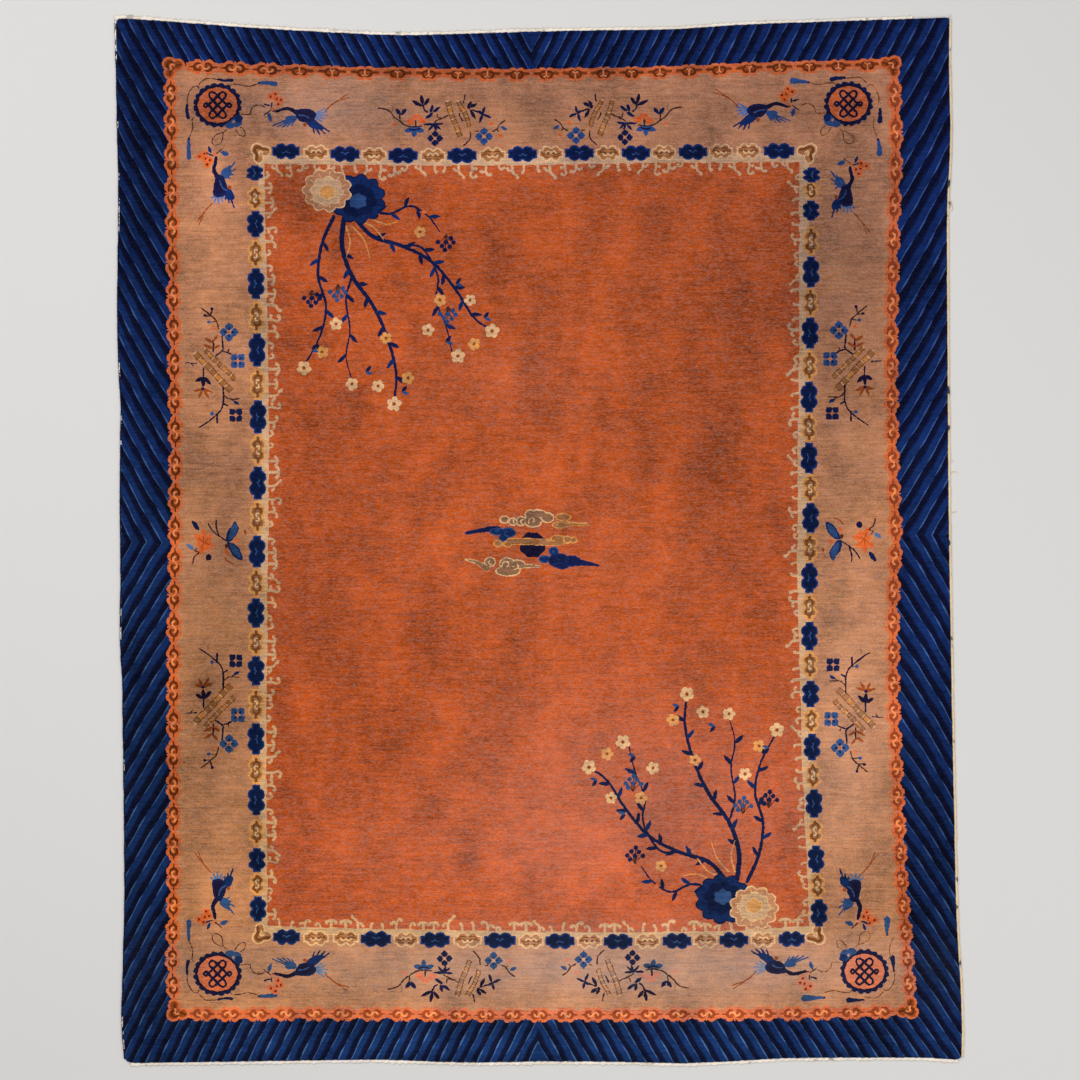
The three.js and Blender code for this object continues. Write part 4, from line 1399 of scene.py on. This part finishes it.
# Soft patches where wear has paled the wool: place, reach across and along, and by how much
FADED = [
    (540, 965, 420, 34, 0.14), (650, 970, 250, 36, 0.16), (600, 790, 140, 110, 0.09),
    (540, 1014, 380, 8, 0.07), (330, 108, 70, 30, 0.12), (850, 740, 44, 130, 0.1),
    (380, 850, 120, 60, 0.04), (520, 380, 80, 40, 0.03), (560, 560, 200, 60, 0.02),
    (740, 820, 80, 90, 0.06), (560, 860, 90, 50, 0.04),
]


def patchy(x, y, patches):
    """The sum of soft patches at each chart place."""
    total = np.zeros(len(x))
    for px, py, across, along, amount in patches:
        total += amount * np.exp(-((x - px) / across) ** 2 - ((y - py) / along) ** 2)
    return total


def paint_tone_shade_and_sheen(mesh, chart):
    """Writes at each vertex how light the wool is, painted shade and light among it, how much of the
    painted cooler sheen shows, and how faded the wool is.
    """
    x, y = chart[:, 0], chart[:, 1]
    down = (y - CHART_MIDDLE) / CHART_MIDDLE
    # Uneven tone with painted shade and light from the patches, a little lighter towards the bottom.
    tone_and_shade = patchy(x, y, TONE_AND_SHADE_PATCHES) + 0.06 * down
    # Painted sheen: how much of the cooler tint shows, more towards the top and towards the right.
    painted_sheen = np.clip(0.5 - 0.5 * down + 0.15 * (x - CHART_MIDDLE) / 420, 0, 1.2)
    for name, values in (("tone_and_shade", tone_and_shade), ("painted_sheen", painted_sheen), ("faded", patchy(x, y, FADED))):
        layer = mesh.attributes.new(name, "FLOAT", "POINT")
        layer.data.foreach_set("value", values.astype(np.float32))


def make_mesh(name, verts, faces, chart, yarns, uv):
    """An object from arrays, with its yarns as materials and its picture map."""
    mesh = bpy.data.meshes.new(name)
    mesh.from_pydata([tuple(v) for v in verts], [], [tuple(int(i) for i in f) for f in faces])
    used = sorted(set(yarns))
    for yarn in used:
        mesh.materials.append(materials[yarn])
    number = {yarn: i for i, yarn in enumerate(used)}
    mesh.polygons.foreach_set("material_index", [number[y] for y in yarns])
    layer = mesh.uv_layers.new(name="OFBake")
    layer.data.foreach_set("uv", np.concatenate(uv).astype(np.float32).ravel())
    paint_tone_shade_and_sheen(mesh, chart)
    mesh.validate()
    thing = bpy.data.objects.new(name, mesh)
    bpy.context.collection.objects.link(thing)
    return thing


def build_zone(zone, outer, inner, mitres, place_uv, spare, at_rim):
    """The pile of a zone as one closed body: its top with the pattern, its sides and underside.

    place_uv maps the top to the picture, and spare is the corner and size of the part of the picture
    that is left for the rest.
    """
    verts, faces, centres, yarns = lay(zone, outer, inner, mitres)
    used, faces = np.unique(faces, return_inverse=True)
    faces = faces.reshape(-1, 3)
    flat = verts[used]
    z = pile_height(flat, rim_distance(flat) if at_rim else None)
    top = np.array([place(x, y, h) for (x, y), h in zip(flat, z)])
    faces = faces[:, ::-1] if facing_down(top, faces[0]) else faces
    uv = place_uv(flat, faces, centres)
    one_sided = {}
    for i, face in enumerate(faces):
        for a, b in ((face[0], face[1]), (face[1], face[2]), (face[2], face[0])):
            if (b, a) in one_sided:
                del one_sided[(b, a)]
            else:
                one_sided[(a, b)] = i
    rim_verts = sorted({v for edge in one_sided for v in edge})
    below = {v: len(flat) + i for i, v in enumerate(rim_verts)}
    low = np.array([place(*flat[v], BACK_TOP) for v in rim_verts])
    index = {v: i for i, v in enumerate(rim_verts)}
    borders = [(index[a], index[b]) for a, b in one_sided]
    sheet, _, floor, origins, _, _ = delaunay_2d_cdt(
        [Vector(flat[v]) for v in rim_verts], borders, [], 0, 1e-7, True)
    floor = np.array([f for f in floor if len(f) == 3])
    middles = np.array([(v.x, v.y) for v in sheet])[floor].mean(axis=1)
    keep = inside(middles, outer)
    if inner is not None:
        keep &= ~inside(middles, inner)
    floor = [[below[rim_verts[origins[i][0]]] for i in f] for f in floor[keep]]
    all_verts = np.vstack([top, low])
    if not facing_down(all_verts, floor[0]):
        floor = [f[::-1] for f in floor]
    spare_u, spare_v, wide, high = spare
    (x0, y0), (x1, y1) = outer.min(axis=0), outer.max(axis=0)

    def hidden(points):
        p = np.asarray(points)
        return np.column_stack([spare_u + wide * (p[:, 0] - x0) / (x1 - x0),
                                spare_v + high * (p[:, 1] - y0) / (y1 - y0)])

    every, names, maps = list(faces), list(yarns), list(uv)
    chart = np.vstack([flat, flat[rim_verts]])
    for (a, b), i in one_sided.items():
        every.append((b, a, below[a], below[b]))
        names.append(yarns[i])
        maps.append(hidden(chart[[b, a, below[a], below[b]]]))
    for f in floor:
        every.append(tuple(f))
        names.append(zone.ground)
        maps.append(hidden(chart[list(f)]))
    return make_mesh(zone.name, all_verts, every, chart, names, maps)


def facing_down(verts, face):
    """Whether a face, or the plane of its first three corners, looks down."""
    a, b, c = (Vector(verts[i]) for i in face[:3])
    return (b - a).cross(c - a).z < 0


def ring_map(strip, outer_corners, inner_corners):
    """The picture map of a ring."""
    def lay_out(flat, faces, centres):
        rows = strip_rows(centres, outer_corners, inner_corners)
        return [strip_place(flat[list(face)], int(row), strip) for face, row in zip(faces, rows)]
    return lay_out


# The upper left corner of the field and the length of chart that its picture covers
FIELD_CORNER = (255, 155)
FIELD_LONG = 800


def field_map(flat, faces, centres):
    """The picture map of the field."""
    shown = np.column_stack([0.01 + (flat[:, 0] - FIELD_CORNER[0]) / FIELD_LONG,
                             0.985 - (flat[:, 1] - FIELD_CORNER[1]) / FIELD_LONG])
    return [shown[list(face)] for face in faces]


def cross_lines(low, high):
    """The lines that part the half sides of a ring, between two places and their opposites."""
    across, along = MIDDLE
    ends = ((low, high), [[CHART_SIZE - v for v in corner] for corner in (low, high)])
    upright = [((across, a[1]), (across, b[1])) for a, b in ends]
    level = [((a[0], along), (b[0], along)) for a, b in ends]
    return upright + level


# The corner and the size of the part of each picture that is left for sides and underside
RING_SPARE = (0.01, 0.9, 0.96, 0.09)
FIELD_SPARE = (0.75, 0.02, 0.23, 0.9)
border_cuts = list(zip(rim_corners, band_corners)) + cross_lines((90, 0), (200, 100))
main_cuts = list(zip(band_corners, field_corners)) + cross_lines((150, 60), (290, 180))
pile = [
    build_zone(outer_border, rim, band_ring, border_cuts,
               ring_map(BORDER_STRIP, rim_corners, band_corners), RING_SPARE, True),
    build_zone(main_border, band_ring, field_ring, main_cuts,
               ring_map(MAIN_STRIP, band_corners, field_corners), RING_SPARE, False),
    build_zone(field, field_ring, None, [], field_map, FIELD_SPARE, False),
]


# The cotton back that the pile is knotted on: the spacing of its outline, how far its top stays
# below the pile's underside, and the chart place and length that its picture covers
BACK_STEP = 12.0
BACK_GAP = 0.0002
BACK_LEFT = 100
BACK_LONG = 1100


def make_back():
    """The cotton back as one flat closed body."""
    outline = resampled(RIM, BACK_STEP, True)
    count = len(outline)
    verts = [place(x, y, z) for z in (0.0, BACK_TOP - BACK_GAP) for x, y in outline]
    borders = [(i, (i + 1) % count) for i in range(count)]
    _, _, tris, _, _, _ = delaunay_2d_cdt([Vector(p) for p in outline], borders, [], 0, 1e-7, False)
    tris = [f for f in tris if inside(np.array([outline[list(f)].mean(axis=0)]), outline)[0]]
    faces = []
    for f in tris:
        down = f if facing_down(verts, f) else f[::-1]
        faces.append(tuple(down))
        faces.append(tuple(i + count for i in down[::-1]))
    for i, j in borders:
        quad = (i, j, j + count, i + count)
        a, b = Vector(verts[i]), Vector(verts[j])
        out = (b - a).cross(Vector((0, 0, 1)))
        faces.append(quad if out.dot(a) > 0 else quad[::-1])
    chart = np.vstack([outline, outline])
    uv = np.column_stack([0.02 + (chart[:, 0] - BACK_LEFT) / BACK_LONG, 0.98 - chart[:, 1] / BACK_LONG])
    maps = [uv[list(f)] for f in faces]
    return make_mesh("foundation", verts, faces, chart, ["beige"] * len(faces), maps)


back = make_back()

for piece in [back] + pile:
    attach(piece, "root")
    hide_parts("rug_body")
for piece in pile:
    piece.data.shade_smooth()
    piece.data.set_sharp_from_angle(angle=math.radians(35))


# The corded sides and the worn cotton ends. Each side of the rim: the chart axis that it runs
# along, from and to, the line that it lies beyond, and whether outwards is up or down the scale.
SIDES = {
    "left": (1, 19, 1061, 129, -1),
    "right": (1, 19, 1057.2, 943, 1),
    "top": (0, 117, 934, 60, -1),
    "bottom": (0, 128, 959, 1000, 1),
}
CORD_STEP = 1.15

# The cottons: colour, the colour that shows through where it is worn away, and the share of that
COTTONS = {
    "cotton_white": ((232, 222, 208), (178, 166, 152), 0.34),
    "cord_under_pile": ((22, 30, 62), (12, 16, 40), 0.4),
    "cotton_yellowed": ((222, 196, 156), (70, 60, 54), 0.33),
}

# Where the left cord is bare, from and to along the chart, and the bare cotton's reach and height
BARE_COTTON = [(17, 62), (120, 128), (172, 180), (198, 232), (362, 378), (414, 424), (440, 446),
               (608, 616), (626, 640), (756, 771), (1016, 1028), (1030, 1050)]
BARE_OUT = 0.7
BARE_HALF = 0.0022
BARE_HIGH = 0.0042

# Loose threads of the right cord: chart place, heading, and length in metres
LOOSE_THREADS = [(949.5, 199, -0.95, 0.045), (951.4, 461.6, 0.2, 0.012), (951.2, 473, 0.5, 0.03),
                 (953, 512.6, 0.1, 0.017), (948.6, 200, -0.8, 0.03)]

# How worn each end is: chart x and roughness. The top one's right corner ends in a tuft.
TOP_WEAR = [(110, 0.5), (300, 0.6), (440, 0.55), (520, 0.6), (548, 0.3), (600, 0.1), (900, 0.14),
            (950, 0.2)]
BOTTOM_WEAR = [(120, 0.3), (300, 0.22), (500, 0.3), (700, 0.2), (900, 0.4), (940, 0.6), (965, 0.8)]
CORNER_TUFT = (950.4, 16.5)
TUFT_STRANDS = 26


def side_of_rim(axis, low, high, near, sign):
    """The rim along one side of the rug, as chart places in order, with the way outwards at each."""
    other = 1 - axis
    p = np.array([q for q in RIM if low < q[axis] < high and sign * (q[other] - near) > 0])
    p = p[np.argsort(p[:, axis])]
    p = resampled(smoothed(p, False, 3), CORD_STEP, False)
    way = np.gradient(p, axis=0)
    way /= np.hypot(way[:, 0], way[:, 1])[:, None]
    out = np.column_stack([way[:, 1], -way[:, 0]])
    if (out[:, other] * sign).mean() < 0:
        out = -out
    return p, out


def tube(path, halves, heights, ply, twist, rough, seed, sides=10):
    """A twisted cord: rings of vertices around a path given in metres, and the faces between them."""
    dice = random.Random(seed)
    verts, faces = [], []
    lump = [dice.uniform(-1, 1) for _ in range(len(path) // 3 + 4)]
    for i, (x, y, z) in enumerate(path):
        before, after = path[max(i - 1, 0)], path[min(i + 1, len(path) - 1)]
        along = np.array([after[0] - before[0], after[1] - before[1]])
        along /= max(1e-9, np.hypot(*along))
        side = np.array([-along[1], along[0]])
        swell = 1 + rough * (lump[i // 3] * (1 - i % 3 / 3) + lump[i // 3 + 1] * (i % 3) / 3)
        for k in range(sides):
            t = 2 * math.pi * k / sides
            r = swell * (1 + ply * math.cos(2 * (t - twist * i)))
            dx = halves[i] * r * math.cos(t)
            dz = heights[i] * r * math.sin(t)
            verts.append((x + side[0] * dx, y + side[1] * dx, max(0.0001, z + dz)))
        if i:
            a, b = (i - 1) * sides, i * sides
            for k in range(sides):
                faces.append((a + k, a + (k + 1) % sides, b + (k + 1) % sides, b + k))
    faces.append(tuple(range(sides))[::-1])
    faces.append(tuple((len(path) - 1) * sides + k for k in range(sides)))
    return verts, faces


def strand(start, heading, long, thick, droop, dice):
    """A short loose end of cotton that curls a little as it lies."""
    points, spot = [], np.array(start, float)
    bend = dice.uniform(-0.5, 0.5)
    for i in range(5):
        points.append(tuple(spot))
        spot = spot + np.array([math.cos(heading), math.sin(heading), 0]) * long / 4
        spot[2] = max(thick, spot[2] - droop / 4)
        heading += bend
    sizes = [thick * (1 - 0.17 * i) for i in range(5)]
    return tube(points, sizes, sizes, 0.0, 0.0, 0.0, 1, 5)


def join(parts):
    """Lists of vertices and faces put together into one."""
    verts, faces = [], []
    for some, shapes in parts:
        faces += [tuple(i + len(verts) for i in f) for f in shapes]
        verts += some
    return verts, faces


def cotton_piece(name, node, parts, material):
    """One piece of the rug's edge, in the place of its node."""
    verts, faces = join(parts)
    mesh = bpy.data.meshes.new(name)
    mesh.from_pydata(verts, [], faces)
    mesh.materials.append(material)
    fix = bmesh.new()
    fix.from_mesh(mesh)
    bmesh.ops.recalc_face_normals(fix, faces=fix.faces)
    fix.to_mesh(mesh)
    fix.free()
    mesh.shade_smooth()
    thing = bpy.data.objects.new(name, mesh)
    bpy.context.collection.objects.link(thing)
    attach(thing, "root")
    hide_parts(node)
    return thing


def cotton(name, rgb, dark, share):
    """Undyed cotton, with the dark wool of the border showing through where it is worn away."""
    material = wool(name, rgb, 0.05, 0.12, 0.3, 0.6)
    tree = material.node_tree
    nodes, links = tree.nodes, tree.links
    shader = nodes["Principled BSDF"]
    lit = shader.inputs["Base Color"].links[0].from_socket
    where = nodes.new("ShaderNodeTexCoord")
    texture = nodes.new("ShaderNodeTexNoise")
    texture.inputs["Scale"].default_value = 22.0
    texture.inputs["Detail"].default_value = 2.0
    links.new(where.outputs["Object"], texture.inputs["Vector"])
    ramp = nodes.new("ShaderNodeValToRGB")
    ramp.color_ramp.elements[0].position = share - 0.03
    ramp.color_ramp.elements[1].position = share + 0.03
    links.new(texture.outputs["Fac"], ramp.inputs["Fac"])
    mix = nodes.new("ShaderNodeMix")
    mix.data_type = "RGBA"
    mix.inputs["A"].default_value = (*linear(dark), 1)
    links.new(ramp.outputs["Color"], mix.inputs["Factor"])
    links.new(lit, mix.inputs["B"])
    links.new(mix.outputs["Result"], shader.inputs["Base Color"])
    return material


def wear_along(path, table):
    """How rough an end is at each place along it, read from a table of chart x and roughness."""
    xs, rough = zip(*table)
    return np.interp(path[:, 0], xs, rough)


def edge_piece(side, half, height, ply, twist, rough, seed, tufts=None):
    """A cord along a side, its fibres broken into tufts where it is worn."""
    p, out = side
    dice = random.Random(seed)
    reach = half / KNOT
    centre = p + out * (reach + 0.12)
    wobble = np.array([dice.uniform(-1, 1) for _ in range(len(p) // 9 + 3)])
    sway = np.interp(np.arange(len(p)) / 9, np.arange(len(wobble)), wobble)
    amount = wear_along(p, tufts) if tufts else np.full(len(p), 0.1)
    fat = np.array([dice.uniform(-0.8, 1) for _ in range(len(p) // 4 + 3)])
    halves = half * (1 + 0.75 * amount * np.interp(np.arange(len(p)) / 4, np.arange(len(fat)), fat))
    centre = centre + out * (sway * 0.22)[:, None]
    path = [place(x, y, height) for x, y in centre]
    parts = [tube(path, halves, halves * height / half, ply, twist, rough, seed)]
    if not tufts:
        return parts
    for i in range(2, len(p) - 2):
        for _ in range(3):
            if dice.random() > amount[i]:
                continue
            x, y = centre[i] + out[i] * dice.uniform(-0.9, 1.2)
            heading = math.atan2(-out[i][1], out[i][0]) + dice.uniform(-1.5, 1.5)
            start = place(x, y, height * dice.uniform(0.6, 1.6))
            long = dice.uniform(0.003, 0.009) * (0.6 + amount[i])
            parts.append(strand(start, heading, long, dice.uniform(0.0009, 0.0019), 0.003, dice))
    return parts


def bare_bits(side):
    """Short bits of the left cord that show their cotton."""
    p, out = side
    parts = []
    for seed, (low, high) in enumerate(BARE_COTTON):
        chosen = (p[:, 1] >= low) & (p[:, 1] <= high)
        path = [place(x, y, BARE_HIGH) for x, y in p[chosen] + out[chosen] * BARE_OUT]
        if len(path) > 2:
            halves = np.full(len(path), BARE_HALF)
            parts.append(tube(path, halves, halves * 0.8, 0.12, 0.9, 0.3, 40 + seed))
    return parts


def make_edges():
    """The cords of the two sides and the webs of the two ends."""
    left, right, top, bottom = (side_of_rim(*limits) for limits in SIDES.values())
    white, covered, yellow = (cotton(name, *look) for name, look in COTTONS.items())
    left_cord = edge_piece(left, 0.0026, 0.003, 0.12, 0.9, 0.16, 3)
    right_cord = edge_piece(right, 0.0039, 0.0034, 0.13, 0.8, 0.16, 4)
    dice = random.Random(8)
    for x, y, heading, long in LOOSE_THREADS:
        right_cord.append(strand(place(x, y, 0.004), heading, long, 0.0013, 0.004, dice))
    top_web = edge_piece(top, 0.0047, 0.0028, 0.3, 0.55, 0.34, 5, TOP_WEAR)
    for _ in range(TUFT_STRANDS):
        x, y = CORNER_TUFT[0] + dice.uniform(-1, 1), CORNER_TUFT[1] + dice.uniform(-1.5, 1.5)
        heading, long = dice.uniform(0.6, 2.4), dice.uniform(0.004, 0.009)
        top_web.append(strand(place(x, y, 0.003), heading, long, 0.0008, 0.003, dice))
    bottom_web = edge_piece(bottom, 0.005, 0.0028, 0.3, 0.55, 0.34, 6, BOTTOM_WEAR)
    return [
        cotton_piece("selvedge_left", "edge_cord_left", left_cord, covered),
        cotton_piece("selvedge_left_bare", "edge_cord_left", bare_bits(left), white),
        cotton_piece("selvedge_right", "edge_cord_right", right_cord, yellow),
        cotton_piece("fringe_top", "end_web_top", top_web, white),
        cotton_piece("fringe_bottom", "end_web_bottom", bottom_web, white),
    ]


edging = make_edges()

# The floor, the light and the camera, which looks straight down at the middle of the photograph.
# The lamps: name, place and size in metres, and power in watts.
PHOTO_MIDDLE = (540.0, 540.0)
PHOTO_ACROSS = CHART_SIZE * KNOT
LENS, FILM = 85.0, 36.0
FLOOR_GREY = (0.62, 0.61, 0.6, 1)
FLOOR_REACH = 9
FLOOR_LEVEL = -0.001
LAMPS = [
    ("key", (-3.5, 3.0, 6.5), 4.0, 273.9),
    ("fill", (3.8, -2.5, 6.0), 4.5, 174.3),
    ("top", (0.0, 0.0, 9.5), 6.0, 215.8),
]
ROOM_LIGHT = (1, 0.99, 0.97, 1)
ROOM_STRENGTH = 0.38


def studio():
    """What stands round the rug: a pale floor, three lamps, a soft room and the camera."""
    link = bpy.context.collection.objects.link
    floor = bpy.data.meshes.new("floor")
    corners = [(x * FLOOR_REACH, y * FLOOR_REACH, FLOOR_LEVEL)
               for x, y in ((-1, -1), (1, -1), (1, 1), (-1, 1))]
    floor.from_pydata(corners, [], [(0, 1, 2, 3)])
    ground = bpy.data.objects.new("floor", floor)
    pale = bpy.data.materials.new("pale_floor")
    pale.use_nodes = True
    shader = pale.node_tree.nodes["Principled BSDF"]
    shader.inputs["Base Color"].default_value = FLOOR_GREY
    shader.inputs["Roughness"].default_value = 0.9
    floor.materials.append(pale)
    link(ground)
    for name, spot, size, power in LAMPS:
        light = bpy.data.lights.new(name, "AREA")
        light.energy = power
        light.size = size
        lamp = bpy.data.objects.new(name, light)
        lamp.location = spot
        lamp.rotation_euler = (-Vector(spot)).to_track_quat("-Z", "Y").to_euler()
        link(lamp)
    world = bpy.data.worlds.new("soft_room")
    world.use_nodes = True
    sky = world.node_tree.nodes["Background"]
    sky.inputs["Color"].default_value = ROOM_LIGHT
    sky.inputs["Strength"].default_value = ROOM_STRENGTH
    bpy.context.scene.world = world
    bpy.context.scene.view_settings.view_transform = "Standard"
    camera = bpy.data.cameras.new("camera")
    camera.lens, camera.sensor_width = LENS, FILM
    eye = bpy.data.objects.new("camera", camera)
    height = PHOTO_ACROSS * LENS / FILM + PILE_TOP
    eye.location = place(*PHOTO_MIDDLE, height)
    link(eye)
    bpy.context.scene.camera = eye


studio()
